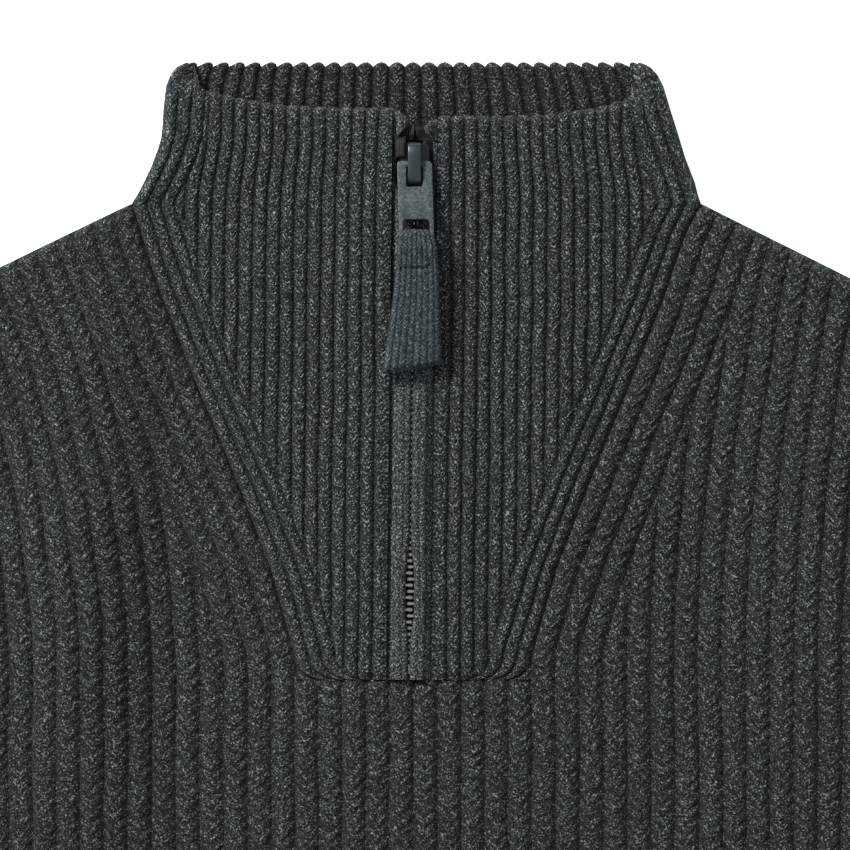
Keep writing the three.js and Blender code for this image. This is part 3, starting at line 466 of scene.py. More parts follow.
def body_columns(number, y, side):
    """Half width of each column at each height, and how free it is to stand up there: ribs beside the yoke's
    seam run along it, those outside lean out and run out on that border, and all run out at the armhole."""
    half_rib = BODY_KNIT["rib"] / 2
    first = YOKE_FOOT_HALF / half_rib
    border_end = first + 2 * BORDER_RIBS
    slant = np.where(y > YOKE_CORNER_Y, seam_half(y, side), YOKE_FOOT_HALF)
    edge = edge_half(y, side)
    inner = np.where(y > YOKE_FOOT_Y, seam_half(y, side) + GAP, 0)
    up = np.clip((y - YOKE_FOOT_Y) / -YOKE_FOOT_Y, 0, 1)
    border = slant + BORDER_RIBS * BODY_KNIT["rib"]
    leaning = number * half_rib + LEAN[side] * up * up
    beside = slant + (number - first) * half_rib
    half = np.where(number > border_end, leaning, np.where(number >= first, beside, number * half_rib))
    free = np.where(number > border_end, np.clip((leaning - border) / 1.5, 0, 1), 1)
    half = np.where(number > border_end, np.maximum(half, border), half)
    free = np.where(half <= inner, 0, free)
    free = np.minimum(free, np.clip((edge - half) / 0.6, 0, 1))
    return np.minimum(np.maximum(half, inner), edge), free


def body_patch(shell, number, y, side):
    """One side's stretch of the body front: number runs out from the middle, y up. Its ribs wander a little,
    and it turns in at the yoke's seam, where its rim leans over the gap."""
    number, rows, sign = number[None, :], y[:, None], SIGN[side]
    half, free = body_columns(number, rows, side)
    high, stitch = relief(number, rows, BODY_KNIT, 11 + sign)
    wander = 0.35 * free * drift(number * 3 + 60, rows + 400, 17, 21 + sign) * (number > 0)
    rolls = (rows <= UNDERARM_Y) | (rows >= -SHOULDER_DROP)
    roll = EDGE_SOFTEN * (1 - smooth(edge_half(rows, side) - half, 0, ROLL)) * rolls
    from_seam = np.where(rows > YOKE_FOOT_Y, half - seam_half(rows, side) - GAP, 99)
    from_foot = np.where((half < YOKE_FOOT_HALF) & (rows <= YOKE_FOOT_Y), YOKE_FOOT_Y - rows, 99)
    turned_in = SEAM_SINK * (1 - smooth(np.minimum(from_seam, from_foot), 0, SEAM_ROUND))
    x = sign * half + wander - sign * SEAM_LEAN * (from_seam < 0.05)
    z = FRONT_UNDER + WALL + free * high - roll - turned_in + undulate(sign * half, rows)
    u = sign * number * BODY_KNIT["rib"] / 2
    return shell.grid(x, rows + SEAM_LEAN * (from_foot < 0.05), z, u, stitch), half


def body_front():
    """The front panel: one grid below the yoke and one on each side of it, over a flat underside."""
    shell = Shell()
    step = BODY_KNIT["row"] / BODY_KNIT["parts"]
    below = np.arange(math.floor((YOKE_FOOT_Y - HEM_TOP_Y) / step - 0.4), -1, -1) * step
    beside = np.arange(1, math.ceil(-YOKE_FOOT_Y / step)) * step
    low_y = np.append(HEM_TOP_Y, YOKE_FOOT_Y - below)
    high_y = YOKE_FOOT_Y + np.concatenate([[0, 0.2, 0.55], beside, [-YOKE_FOOT_Y]])
    tops, unders, marks = {}, {}, {}
    for side in ("left", "right"):
        last = math.ceil(CHEST[side] / (BODY_KNIT["rib"] / 2))
        for part, y, first in (("low", low_y, 0), ("high", high_y, CORNER_COLUMN)):
            number = columns(first, last, BODY_KNIT)
            ids, half = body_patch(shell, number, y, side)
            rows, cols = every(len(y), 12), every(len(number), 12)
            low_ids = shell.grid(SIGN[side] * half[np.ix_(rows, cols)], y[rows][:, None], FRONT_UNDER)
            shell.knit_skin(ids, number, SIGN[side])
            shell.skin(low_ids[:, ::SIGN[side]], turned=True)
            tops[part, side], unders[part, side], marks[part, side] = ids, low_ids, (rows, cols)
    close_front(shell, tops, unders, marks)
    return shell.piece("knit_body_front")


def close_front(shell, tops, unders, marks):
    """Walks round the front's outline and closes it."""
    upper, lower, marked = [], [], []

    def walk(part, row=None, column=None, back=False, count=None):
        """One edge of a part but for its last point, or only its first points as far as the yoke's corner."""
        if row is None:
            top, low, mask = tops[part][:, column], unders[part][:, column], marks[part][0]
        else:
            top, low, mask = tops[part][row], unders[part][row], marks[part][1]
        if count:
            top, low, mask = top[:count], low[:mask[:count].sum()], mask[:count]
        way = slice(None, 0, -1) if back else slice(None, -1)
        upper.append(top[way])
        lower.append(low[way])
        marked.append(mask[way])

    foot = CORNER_COLUMN * BODY_KNIT["parts"] + 1
    walk(("low", "left"), row=0, back=True)  # hem
    walk(("low", "right"), row=0)
    walk(("low", "right"), column=-1)  # right side and shoulder
    walk(("high", "right"), column=-1)
    walk(("high", "right"), row=-1, back=True)
    walk(("high", "right"), column=0, back=True)  # yoke
    walk(("low", "right"), row=-1, back=True, count=foot)
    walk(("low", "left"), row=-1, count=foot)
    walk(("high", "left"), column=0)
    walk(("high", "left"), row=-1)  # left shoulder and side
    walk(("high", "left"), column=-1, back=True)
    walk(("low", "left"), column=-1, back=True)
    shell.wall(np.concatenate(upper), np.concatenate(lower), np.concatenate(marked))


def close_under(shell, ids, x, y, under, row_step, col_step, way=1):
    """Gives a single grid its underside, with only some of its rows and columns, and its rim. Its columns run
    right (way 1) or left (way -1)."""
    ids, x, y, under = (np.broadcast_to(a, ids.shape)[:, ::way] for a in (ids, x, y, under))
    rows, cols = every(ids.shape[0], row_step), every(ids.shape[1], col_step)
    pick = np.ix_(rows, cols)
    low_ids = shell.grid(x[pick], y[pick], under[pick])
    shell.skin(low_ids, turned=True)
    marks = np.concatenate([cols[:-1], rows[:-1], cols[:0:-1], rows[:0:-1]])
    shell.wall(rim(ids), rim(low_ids), marks)


def back_neck(x):
    """The back's neckline: a shallow curve of the third power."""
    return -BACK_NECK_DROP * (1 - np.clip(np.abs(x) / SEAM_HALF["left"][-1], 0, 1) ** 3)


def body_back():
    """The back panel, flat on the floor, its two top rows on the slanted shoulders and the neckline."""
    shell = Shell()
    share = np.linspace(-1, 1, 61)
    y = np.concatenate([rows_between(HEM_TOP_Y, UNDERARM_Y, 8), EDGE_Y[1:]])[:, None]

    def edge_at(heights):
        return np.where(share < 0, edge_half(heights, "left"), edge_half(heights, "right"))

    x = share * edge_at(y)
    across, up_to = [x], [np.broadcast_to(y, x.shape)]
    seam = np.where(share < 0, SEAM_HALF["left"][-1], SEAM_HALF["right"][-1])
    for up in (0.5, 1):
        row_x = share * mix(SHOULDER_END, seam, up)
        line = -SHOULDER_DROP * (1 - up)
        neck = np.minimum(mix(-SHOULDER_DROP, back_neck(row_x), up), line)
        across.append(row_x[None, :])
        up_to.append(np.where(np.abs(share) == 1, line, neck)[None, :])
    x, y = np.concatenate(across), np.concatenate(up_to)
    rolls = (y <= UNDERARM_Y) | (y >= -SHOULDER_DROP)
    z = BACK_TOP - PLAIN_SOFTEN * (1 - smooth(edge_at(y) - np.abs(x), 0, ROLL)) * rolls
    ids = shell.grid(x, y, z, x, y)
    shell.skin(ids)
    low = shell.grid(x, y, 0, x, y)
    shell.skin(low, turned=True)
    shell.wall(rim(ids), rim(low), np.ones(len(rim(ids)), bool))
    return shell.piece("knit_body_back")


# Hem

def hem_half(y, side):
    """Half the hem's width, drawn in towards its edge."""
    return CHEST[side] - HEM_PULL * smooth(y, HEM_TOP_Y + 12, HEM_Y)


def hem(front):
    """A rib strip along the body's foot, ribbed in front and plain behind."""
    shell = Shell()
    knit = EDGE_KNIT
    count = math.floor(CHEST["left"] / (knit["rib"] / 2))
    top_y = HEM_TOP_Y - GAP + RIM_LEAN
    if front:
        number, y = columns(-count, count, knit), rows_between(HEM_Y, top_y, knit["row"] / knit["parts"])
    else:
        number, y = np.linspace(-count, count, 61), np.array([HEM_Y, HEM_Y + 1.5, HEM_Y + 34, top_y])
    y = y[:, None]
    half = np.where(number < 0, hem_half(y, "left"), hem_half(y, "right"))
    x = number / count * half
    roll = (EDGE_SOFTEN if front else PLAIN_SOFTEN) * (1 - smooth(half - np.abs(x), 0, ROLL))
    edge = 0.8 * (1 - smooth(y, HEM_Y, HEM_Y + 1.6))
    high, stitch = relief(number[None, :], y, knit, 31)
    z = (FRONT_UNDER + WALL + high if front else BACK_TOP) - roll - edge
    ids = shell.grid(x, y, z, number[None, :] * knit["rib"] / 2, stitch)
    shell.knit_skin(ids, number)
    close_under(shell, ids, x, y, FRONT_UNDER if front else 0, 12, 12)
    return shell.piece("knit_hem_front" if front else "knit_hem_back")


# Sleeves and cuffs

ALONG = np.array([math.sin(SLEEVE_ANGLE), -math.cos(SLEEVE_ANGLE)])
OUTWARD = np.array([math.cos(SLEEVE_ANGLE), math.sin(SLEEVE_ANGLE)])


def armhole_points(share, side, gap=GAP):
    """Points beside the armhole's seam, by their share of its length down from the shoulder."""
    y = np.array(EDGE_Y[::-1], float)
    line = np.stack([edge_half(y, side), y], -1)
    steps = np.hypot(*np.diff(line, axis=0).T)
    length = np.concatenate([[0], np.cumsum(steps)])
    at = np.clip(share, 0, 1) * length[-1]
    section = np.clip(np.searchsorted(length, at - 1e-6) - 1, 0, len(steps) - 1)
    way = (np.diff(line, axis=0) / steps[:, None])[section]
    on = line[section] + way * (at - length[section])[..., None]
    return on + np.stack([-way[..., 1], way[..., 0]], -1) * gap


def sleeve_points(share, down, side):
    """Points of the sleeve: share from its outer edge to its inner one, down from armhole to cuff, each on a
    curve that starts at the armhole, bends towards SLEEVE_BEND and ends across the wrist."""
    start = armhole_points(share, side, np.where(down == 0, GAP - RIM_LEAN, GAP)[:, None, None])
    under = armhole_points(np.array([1.0]), side)[0]
    wrist = under + OUTWARD * UPPER_ARM_HALF + ALONG * SLEEVE_LENGTH
    end = wrist + OUTWARD * mix(WRIST_HALF, -WRIST_HALF, share)[:, None]
    outer, inner = np.array(SLEEVE_BEND["outer"], float), np.array(SLEEVE_BEND["inner"], float)
    bend = outer + (inner - outer) * share[:, None]
    d = down[:, None, None]
    return (1 - d) ** 2 * start + 2 * d * (1 - d) * bend[None] + d ** 2 * end[None]


def cuff_points(share, down, side):
    """Points of the cuff: straight down from the sleeve's end, pulled in a little."""
    under = armhole_points(np.array([1.0]), side)[0]
    half = mix(CUFF_HALF["seam"], CUFF_HALF["edge"], smooth(down, 0, 0.6))
    reach = half[:, None] * (1 - 2 * share)[None, :]
    start = under + OUTWARD * UPPER_ARM_HALF
    reach_down = SLEEVE_LENGTH + GAP - RIM_LEAN * (down == 0) + down * CUFF_LENGTH
    return start + OUTWARD * reach[..., None] + ALONG * reach_down[:, None, None]


def flattened_tube(name, points_at, length, ribs, knit, side):
    """A sleeve or cuff lying flat: ribbed above, flat below, round at its folds, with an inner wall that is
    one cloth's thickness in, and open at both ends. Its columns run from the outer edge in and its rows down,
    so on the right side the skin faces up as it is."""
    shell = Shell()
    number = columns(0, 2 * ribs, knit)
    top_share = number / (2 * ribs)
    low_share = np.array([0.97, 0.9, 0.7, 0.5, 0.3, 0.1, 0.03])
    down = np.linspace(0, 1, max(2, round(length / knit["row"]) * knit["parts"]) + 1)

    def ring(downs, outer):
        top_at, low_at = points_at(top_share, downs, side), points_at(low_share, downs, side)
        way = points_at(np.array([1.0]), downs, side) - points_at(np.array([0.0]), downs, side)
        width = np.hypot(*way[:, 0].T)[:, None]
        along = (downs * length)[:, None]
        if outer:
            high, stitch = relief(number[None, :], along, knit, 41 + SIGN[side])
            from_edge = np.minimum(top_share, 1 - top_share)[None, :] * width
            free = np.clip((from_edge - 1.5) / 3, 0, 1)
            lift = FRONT_UNDER + WALL - TUBE_FOLD_Z + undulate(SIGN[side] * top_at[..., 0], top_at[..., 1])
            z = TUBE_FOLD_Z + lift * quarter(from_edge, TUBE_FOLD) + free * high
            low_z = np.where(np.abs(low_share - 0.5) > 0.45, 0.25, 0)
        else:
            stitch = along + 0 * number[None, :]
            inset = TUBE_WALL / width
            top_at = top_at + (np.clip(top_share[None, :], inset, 1 - inset) - top_share)[..., None] * way
            low_at = low_at + (np.clip(low_share[None, :], inset, 1 - inset) - low_share)[..., None] * way
            z = np.full(top_at.shape[:2], FRONT_UNDER)
            low_z = np.full(len(low_share), BACK_TOP)
        at = np.concatenate([top_at, low_at], 1)
        z = np.concatenate([z, np.broadcast_to(low_z, low_at.shape[:2])], 1)
        u = np.concatenate([number, low_share * 2 * ribs]) * knit["rib"] / 2
        v = np.concatenate([stitch, np.broadcast_to(along, low_at.shape[:2])], 1)
        return shell.grid(SIGN[side] * at[..., 0], at[..., 1], z, u[None, :], v)

    outer_ids = ring(down, True)
    inner_ids = ring(down[every(len(down), 18)], False)
    turned = side == "left"
    slope = np.concatenate([rising(number), np.ones(len(low_share) + 1, bool)])
    shell.skin(closed(outer_ids), slope, turned)
    shell.skin(closed(inner_ids), turned=not turned)
    shell.ring_ends(outer_ids, inner_ids, turned)
    return shell.piece(name)


# Collar and yoke

def fold_spacing(edge, y):
    """The outer half ribs draw together up the fold, which is narrow at its top."""
    half_rib = TRIM_KNIT["rib"] / 2
    return np.where(y > 0, np.minimum(half_rib, (edge - FOLD_INNER) / FOLD_COLUMNS), half_rib)


def collar_columns(number, y, side, count):
    """Half width of each column, and how free it is: three ribs run along the outer edge, and the rest hang
    straight beside the zip and run out on them. number counts half ribs in from the outer edge."""
    half_rib = TRIM_KNIT["rib"] / 2
    seam = seam_half(np.where(y < YOKE_CORNER_Y, y - GAP, y), side)
    edge = np.where(y >= 0, np.interp(y, FOLD_Y, FOLD_HALF[side]), seam)
    inner = SIGN[side] * zip_x(y) + BAND_OUTER + GAP
    border = 2 * BORDER_RIBS
    beside = np.maximum(edge - number * fold_spacing(edge, y), inner)
    limit = edge - border * half_rib
    flare = 1 - 0.05 * smooth(y, 0, 20)
    natural = inner + (count - number) * half_rib * flare
    half = np.where(number <= border, beside, np.clip(natural, inner, np.maximum(limit, inner)))
    free = np.where(number <= border, 1, np.clip((limit - natural) / 1.2, 0, 1))
    return half, free


def collar_front_top(number, half, side):
    """The front's top edge: low at the zip, rising to the folds, whose columns go up to the collar's top."""
    front = COLLAR_FRONT[side]
    edge = front["y"] + front["rise"] * np.clip(half / FOLD_INNER, 0, 1) ** front["power"]
    return mix(COLLAR_TOP_Y, edge, smooth(number, FOLD_COLUMNS, FOLD_COLUMNS + 1))


def collar_yoke(side):
    """The rib piece beside the zip, from the yoke's foot to the collar's folded top edge. Below the shoulders
    its rows are level, and above them each column's rows share its own way up to the top edge. It turns in at
    its seams, and rounds over at its fold and its top edge."""
    shell = Shell()
    knit, sign, front = TRIM_KNIT, SIGN[side], COLLAR_FRONT[side]
    step = knit["row"] / knit["parts"]
    reach = SEAM_HALF[side][-1] - (sign * zip_x(0.0) + BAND_OUTER + GAP)
    count = 2 * round(reach / knit["rib"])
    column = columns(0, count, knit)
    number = column[None, :]
    foot = YOKE_FOOT_Y + GAP
    fold_y = front["y"] + front["rise"]

    low_y = np.concatenate([[foot, foot + 0.15], np.arange(math.ceil(foot / step + 0.6), 0) * step])[:, None]
    high_rows = round(front["y"] / step)
    up = np.arange(0, high_rows + 1)[:, None] / high_rows
    half_at, _ = collar_columns(number, np.full((1, 1), fold_y), side, count)
    top_y = collar_front_top(number, half_at, side) - 0.5 * across_rib(number) ** 2 * (number > 0)
    half_low, free_low = collar_columns(number, low_y, side, count)
    half_high, free_high = collar_columns(number, up * top_y, side, count)
    level = np.broadcast_to(low_y, half_low.shape)
    half, free = np.concatenate([half_low, half_high]), np.concatenate([free_low, free_high])
    y = np.concatenate([level, up * top_y])
    row_y = np.concatenate([level, np.broadcast_to(up * high_rows * step, half_high.shape)])
    x = sign * half
    from_zip = np.abs(x - zip_x(y))
    above = y > 1e-6

    rib_at = np.minimum(number, count - 0.4)  # the last half rib stays up beside the band
    crest = np.floor(number / 2) * 2 + 1
    pulled = 0.6 * smooth(y, fold_y - 7, fold_y + 2) * (number < FOLD_COLUMNS + 1)
    rib_at = mix(rib_at, crest, pulled)  # the folds' ribs are pulled flat towards their top
    high, stitch = relief(rib_at, row_y, knit, 51 + sign)
    from_seam = np.minimum(number * knit["rib"] / 2, y - foot)
    z = front_under(from_zip, y) + WALL + free * high
    z = z - SEAM_SINK * (1 - smooth(from_seam, 0, SEAM_ROUND)) * ~above
    fold_z = FRONT_UNDER + 0.2
    fold = mix(1, quarter(number, FOLD_ROUND), smooth(y, 0, 3))
    z = np.where(above, fold_z + (z - fold_z) * fold, z)
    beside_fold = smooth(number, 2, FOLD_COLUMNS) * (1 - smooth(number, FOLD_COLUMNS, FOLD_COLUMNS + 1))
    z = z - FOLD_STEP * beside_fold * smooth(y, fold_y - 2, fold_y + 3)
    to_top = np.concatenate([np.full(level.shape, 99.0), (1 - up) * top_y])
    z = np.maximum(z - TOP_DROP * (1 - quarter(to_top, TOP_ROUND)), front_under(from_zip, y) + 0.25)
    z = z + undulate(x, y) * (1 - smooth(y, 0, 20))

    wobble = 0.22 * free * drift(number * 2 + 20, y + 300, 13, 61 + sign) * (from_zip > BAND_OUTER + 1)
    lean_out = sign * SEAM_LEAN * ((number < 0.05) & ~above)
    lean_in = sign * SEAM_LEAN * (number > count - 0.05)
    lean_down = SEAM_LEAN * (y < foot + 0.05)
    shown_x = x + wobble * (number > 0.5) + lean_out - lean_in
    ids = shell.grid(shown_x, y - lean_down, z, rib_at * knit["rib"] / 2, stitch)
    under = np.where(above & (number < 2), 0, front_under(from_zip, y))
    shell.knit_skin(ids, column, -sign)
    close_under(shell, ids, x, y, under, 12, 3, -sign)
    return shell.piece(f"knit_collar_yoke_{side}")


def collar_back():
    """The collar's back, whose inner face shows over the front's edge, with its rib ends along the top."""
    shell = Shell()
    knit = INNER_KNIT
    ribs = 14
    number = columns(-2 * ribs, 2 * ribs, knit)
    share = np.abs(number) / (2 * ribs)
    foot = back_neck(share * SEAM_HALF["left"][-1]) + GAP
    rows = round((COLLAR_TOP_Y + BACK_NECK_DROP) * knit["parts"] / knit["row"])
    up = (np.arange(rows + 1) / rows)[:, None]
    top = COLLAR_TOP_Y + 0.3 - 1.2 * across_rib(number + 1)[None, :] ** 2
    y = foot + (top - foot) * up
    fold_y = np.maximum(y, 0.5)
    left, right = (np.interp(fold_y, FOLD_Y, FOLD_HALF[side]) for side in ("left", "right"))
    edge = np.where(number < 0, left, right)
    x = np.sign(number) * share * (edge - 2 * fold_spacing(edge, fold_y) - BACK_CLEAR)
    high, stitch = relief(number[None, :] + 1, up * rows * knit["row"] / knit["parts"], knit, 71)
    z = BACK_TOP - knit["relief"] - 0.3 + high - 1.6 * (1 - quarter((top - foot) * (1 - up), 1.6))
    ids = shell.grid(x, y, z, (number[None, :] + 1) * knit["rib"] / 2, stitch)
    shell.knit_skin(ids, number + 1)
    close_under(shell, ids, x, y, 0, 9, 3)
    return shell.piece("knit_collar_back")


# Zip

def band_gap(y, side):
    """Half the way between the bands: parted a little low down, where the teeth show, open at the slider,
    and closing in again at the collar's top."""
    parted = smooth(y, -118, -108) * (1 - smooth(y, -100, -88))
    shut = mix(BAND_GAP["closed"], BAND_GAP["parted"], parted)
    below = mix(shut, BAND_GAP["open"], smooth(y, -6, 6))
    return mix(below, BAND_GAP[side], smooth(y, SLIDER["top"], COLLAR_FRONT[side]["y"] - 2))


def band(side):
    """The plain knit strip beside the zip: it lies on the teeth and the tape, with both edges round."""
    shell = Shell()
    knit, sign, ribs = JERSEY_KNIT, SIGN[side], 3
    number = np.concatenate([columns(0, 2 * ribs, knit), [0.12, 0.3, 2 * ribs - 0.3, 2 * ribs - 0.12]])
    number = np.unique(number)
    share = (number / (2 * ribs))[None, :]
    top, foot = COLLAR_FRONT[side]["y"] - 1, YOKE_FOOT_Y + GAP
    y = rows_between(foot, top, knit["row"] / knit["parts"])[:, None]
    gap = band_gap(y, side)
    from_zip = mix(gap, BAND_OUTER, share)
    lip = 1 - 0.8 * smooth(y, 1.5, 4) * (1 - smooth(y, SLIDER["top"], MEET_Y + 1))
    over = np.where(share < 0.2, lip + 0 * share, 1 - smooth(from_zip, 3.2, 5.7))
    under = front_under(from_zip, y) + BAND_OVER_TEETH * over
    high, stitch = relief(number[None, :], y, knit, 81 + sign)
    from_edge = np.minimum(from_zip - gap, BAND_OUTER - from_zip + 0.8)
    rounding = np.maximum(1 - quarter(from_edge, 1.0), 1 - quarter(top - y, 1.6))
    z = under + BAND_WALL + high * smooth(from_edge, 0, 0.8) - 1.1 * rounding
    x = zip_x(y) + sign * (from_zip + SEAM_LEAN * (share > 0.99))
    y = y - SEAM_LEAN * (y < foot + 0.05) - BAND_DIP * (1 - share) ** 2 * smooth(y, MEET_Y, top)
    ids = shell.grid(x, y, z, number[None, :] * knit["rib"] / 2, stitch)
    shell.knit_skin(ids, number, sign)
    close_under(shell, ids, x, y, under, 4, 3, sign)
    return shell.piece(f"knit_zip_band_{side}")


def chain_z(y):
    """The height of the teeth's middle."""
    return CHAIN_Z + slider_lift(y)


def zip_tape(side):
    """The woven tape: flat under the knit, rising to the teeth, with a round cord along its edge. Above the
    slider its edge comes in to the other tape's."""
    shell = Shell()
    sign, end = SIGN[side], TAPE_TOP_Y[side]
    y = np.append(np.arange(ZIP_FOOT_Y, MEET_Y, 2), np.linspace(MEET_Y, end, 12))[:, None]
    plain = np.array([[TAPE_EDGE, 2.35, 2.9, 3.4, 4.2, 5.6, 9, TAPE_WIDTH]])
    wider = (TAPE_WIDTH - TAPE_MEET) / (TAPE_WIDTH - TAPE_EDGE)
    meets = smooth(y, MEET_Y, MEET_Y + 0.5)
    out = mix(plain, TAPE_WIDTH - (TAPE_WIDTH - plain) * wider, meets)
    top = mix(chain_z(y) + TAPE / 2, front_under(out, y) - GAP, smooth(out, CHAIN_HALF_WIDTH, 5.6))
    top = top + 1.4 * smooth(y, MEET_Y, MEET_Y + 2) * (1 - smooth(out, TAPE_MEET, 3))
    top = top - 0.5 * smooth(y, end - 0.7, end)
    cord = 0.45 * np.exp(-(((out - 2.9) / 0.45) ** 2)) * (1 - meets)
    x = zip_x(y) + sign * out
    ids = shell.grid(x, y, top + cord, out, y)
    shell.skin(ids[:, ::sign])
    close_under(shell, ids, x, y, top - TAPE - cord, 1, 1, sign)
    if side == "left":
        folded_end(shell)
    return shell.piece(f"woven_zip_tape_{side}")


def folded_end(shell):
    """The left tape's end, folded down over the slider's shoulder beside the bail: a small pad that is round
    along its edges and falls away towards the collar's top."""
    left, right, foot, head = -4.7, -1.75, 11.7, 17.6
    x = np.linspace(left, right, 9)[None, :] + np.zeros((13, 1))
    y = np.linspace(foot, head, 13)[:, None] + np.zeros((1, 9))
    under = mix(8.35, 7.3, smooth(y, 15.9, 17.4))
    edge = np.minimum(np.minimum(x - left, right - x), np.minimum(y - foot, head - y))
    ids = shell.grid(x, y, under + 0.12 + 0.8 * quarter(edge, 0.8), x, y)
    shell.skin(ids)
    close_under(shell, ids, x, y, under, 1, 1)


def zip_teeth(side):
    """The metal teeth of one tape, one each TOOTH_PITCH: a clamp on the cord, a neck and a round head. The
    other side's stand half a pitch away. A tooth is a rounded bar: rings of eight points along its length."""
    shell = Shell()
    right = side == "right"
    out, wide, tall = (np.array(row)[:, None] for row in (TOOTH_OUT, TOOTH_WIDE, TOOTH_TALL))
    tall = tall * (1 if right else 0.7)
    angle = np.arange(8) * math.pi / 4 + math.pi / 8
    ring_y, ring_z = np.clip(np.cos(angle) * 1.25, -1, 1), np.clip(np.sin(angle) * 1.25, -1, 1)
    for y in np.arange(ZIP_FOOT_Y + 1.2 + (TOOTH_PITCH / 2 if right else 0), TEETH_TOP_Y, TOOTH_PITCH):
        x = zip_x(y) + SIGN[side] * out
        ids = shell.grid(x, y + wide * ring_y, chain_z(y) + tall * ring_z)
        shell.skin(closed(ids), turned=not right)
        shell.cap(ids[0], right)
        shell.cap(ids[-1], not right)
    return shell.piece(f"zip_teeth_{side}", 40)


# Hard parts

def rounded(width, foot, top, radius, foot_width=None, steps=6):
    """Points of an upright rectangle with round corners, anticlockwise."""
    foot_width = width if foot_width is None else foot_width
    corners = (
        (foot_width / 2 - radius, foot + radius, -math.pi / 2),
        (width / 2 - radius, top - radius, 0),
        (-width / 2 + radius, top - radius, math.pi / 2),
        (-foot_width / 2 + radius, foot + radius, math.pi),
    )
    turn = np.linspace(0, math.pi / 2, steps)
    return np.concatenate([
        np.stack([cx + radius * np.cos(start + turn), cy + radius * np.sin(start + turn)], -1)
        for cx, cy, start in corners
    ])


def bevelled_plate(name, outlines, low, high, bevel):
    """A flat plate of an outline and holes, its edges rounded over: a filled curve made a mesh. The outlines
    are drawn at their true size, so the outer one is drawn in by the bevel and the holes out by it."""
    curve = bpy.data.curves.new(name, "CURVE")
    curve.dimensions = "2D"
    curve.fill_mode = "BOTH"
    curve.extrude = (high - low) / 2 - bevel
    curve.bevel_depth = bevel
    curve.bevel_resolution = 2
    for points in outlines:
        spline = curve.splines.new("POLY")
        spline.points.add(len(points) - 1)
        flat = np.concatenate([points, np.zeros((len(points), 1)), np.ones((len(points), 1))], 1)
        spline.points.foreach_set("co", flat.ravel())
        spline.use_cyclic_u = True
    source = add_object(name, curve)
    made = bpy.data.meshes.new_from_object(source.evaluated_get(bpy.context.evaluated_depsgraph_get()))
    at, triangles = mesh_arrays(made)
    bpy.data.objects.remove(source)
    points = at + [0, 0, (low + high) / 2]
    keys, where = np.unique(np.round(points * 2000).astype(int), axis=0, return_inverse=True)
    triangles = where.reshape(-1)[triangles]
    whole = (np.diff(np.sort(triangles, 1), axis=1) > 0).all(1)
    return keys / 2000, triangles[whole]


def swing(points):
    """From the pull tab's own frame, with its pivot at the origin and its length down -Y, to plan."""
    c, s = math.cos(TILT), -math.sin(TILT)
    x, y, z = points[..., 0], points[..., 1], points[..., 2]
    return np.stack([x + SLIDER_X, PIVOT["y"] + y * c - z * s, PIVOT["z"] + y * s + z * c], -1)


def leaning(points):
    """Moves each point to the right by its way down the tab."""
    return points + np.stack([-PULL["lean"] * points[:, 1], 0 * points[:, 1]], -1)


def pull_tab():
    """The metal tab: a plate with the bail's window and the loop's hole, its edges rounded."""
    bevel = 0.22
    plate = rounded(PULL["width"] - 2 * bevel, -PULL["foot"] + bevel, PULL["nose"] - bevel,
                    PULL["corner"] - bevel)

    def opening(size, radius):
        return rounded(size["width"] + 2 * bevel, -size["foot"] - bevel, -size["top"] + bevel, radius + bevel)

    outlines = [leaning(plate), opening(WINDOW, 0.4)[::-1], leaning(opening(LOOP_HOLE, 1.1))[::-1]]
    points, triangles = bevelled_plate("pull", outlines, -PULL["thick"] / 2, PULL["thick"] / 2, bevel)
    return make_mesh("metal_pull_tab", put(swing(points)), triangles, None, 30)


def slider_body():
    """The slider's two plates, its post and side flanges: rounded plates, each closed."""
    mid = CHAIN_Z + SLIDER_LIFT
    bevel = 0.25
    low, high = mid - SLIDER["mouth"], mid + SLIDER["mouth"]
    outline = rounded(SLIDER["width"] - 2 * bevel, SLIDER["foot"] + bevel, SLIDER["top"] - bevel, 1.4 - bevel,
                      SLIDER["width"] - 1 - 2 * bevel)
    post = rounded(1.6, SLIDER["top"] - 5.6, SLIDER["top"] - 1.2, 0.5)
    parts = [
        bevelled_plate("upper", [outline], high, high + SLIDER["plate"], bevel),
        bevelled_plate("lower", [outline], low - SLIDER["plate"] + 0.1, low, bevel),
        bevelled_plate("post", [post], low - 0.2, high + 0.2, 0.05),
    ]
    for sign in (-1, 1):
        flange = rounded(0.8, 6.8, 13.2, 0.2) + [sign * (SLIDER["width"] / 2 - 0.95), 0]
        parts.append(bevelled_plate("flange", [flange], high - 0.8, high + 0.1, 0.1))
    points = np.concatenate([p for p, _ in parts])
    offsets = np.cumsum([0] + [len(p) for p, _ in parts[:-1]])
    triangles = np.concatenate([t + o for (_, t), o in zip(parts, offsets)])
    return make_mesh("metal_zip_slider", put(points + [SLIDER_X, 0, 0]), triangles, None, 30)


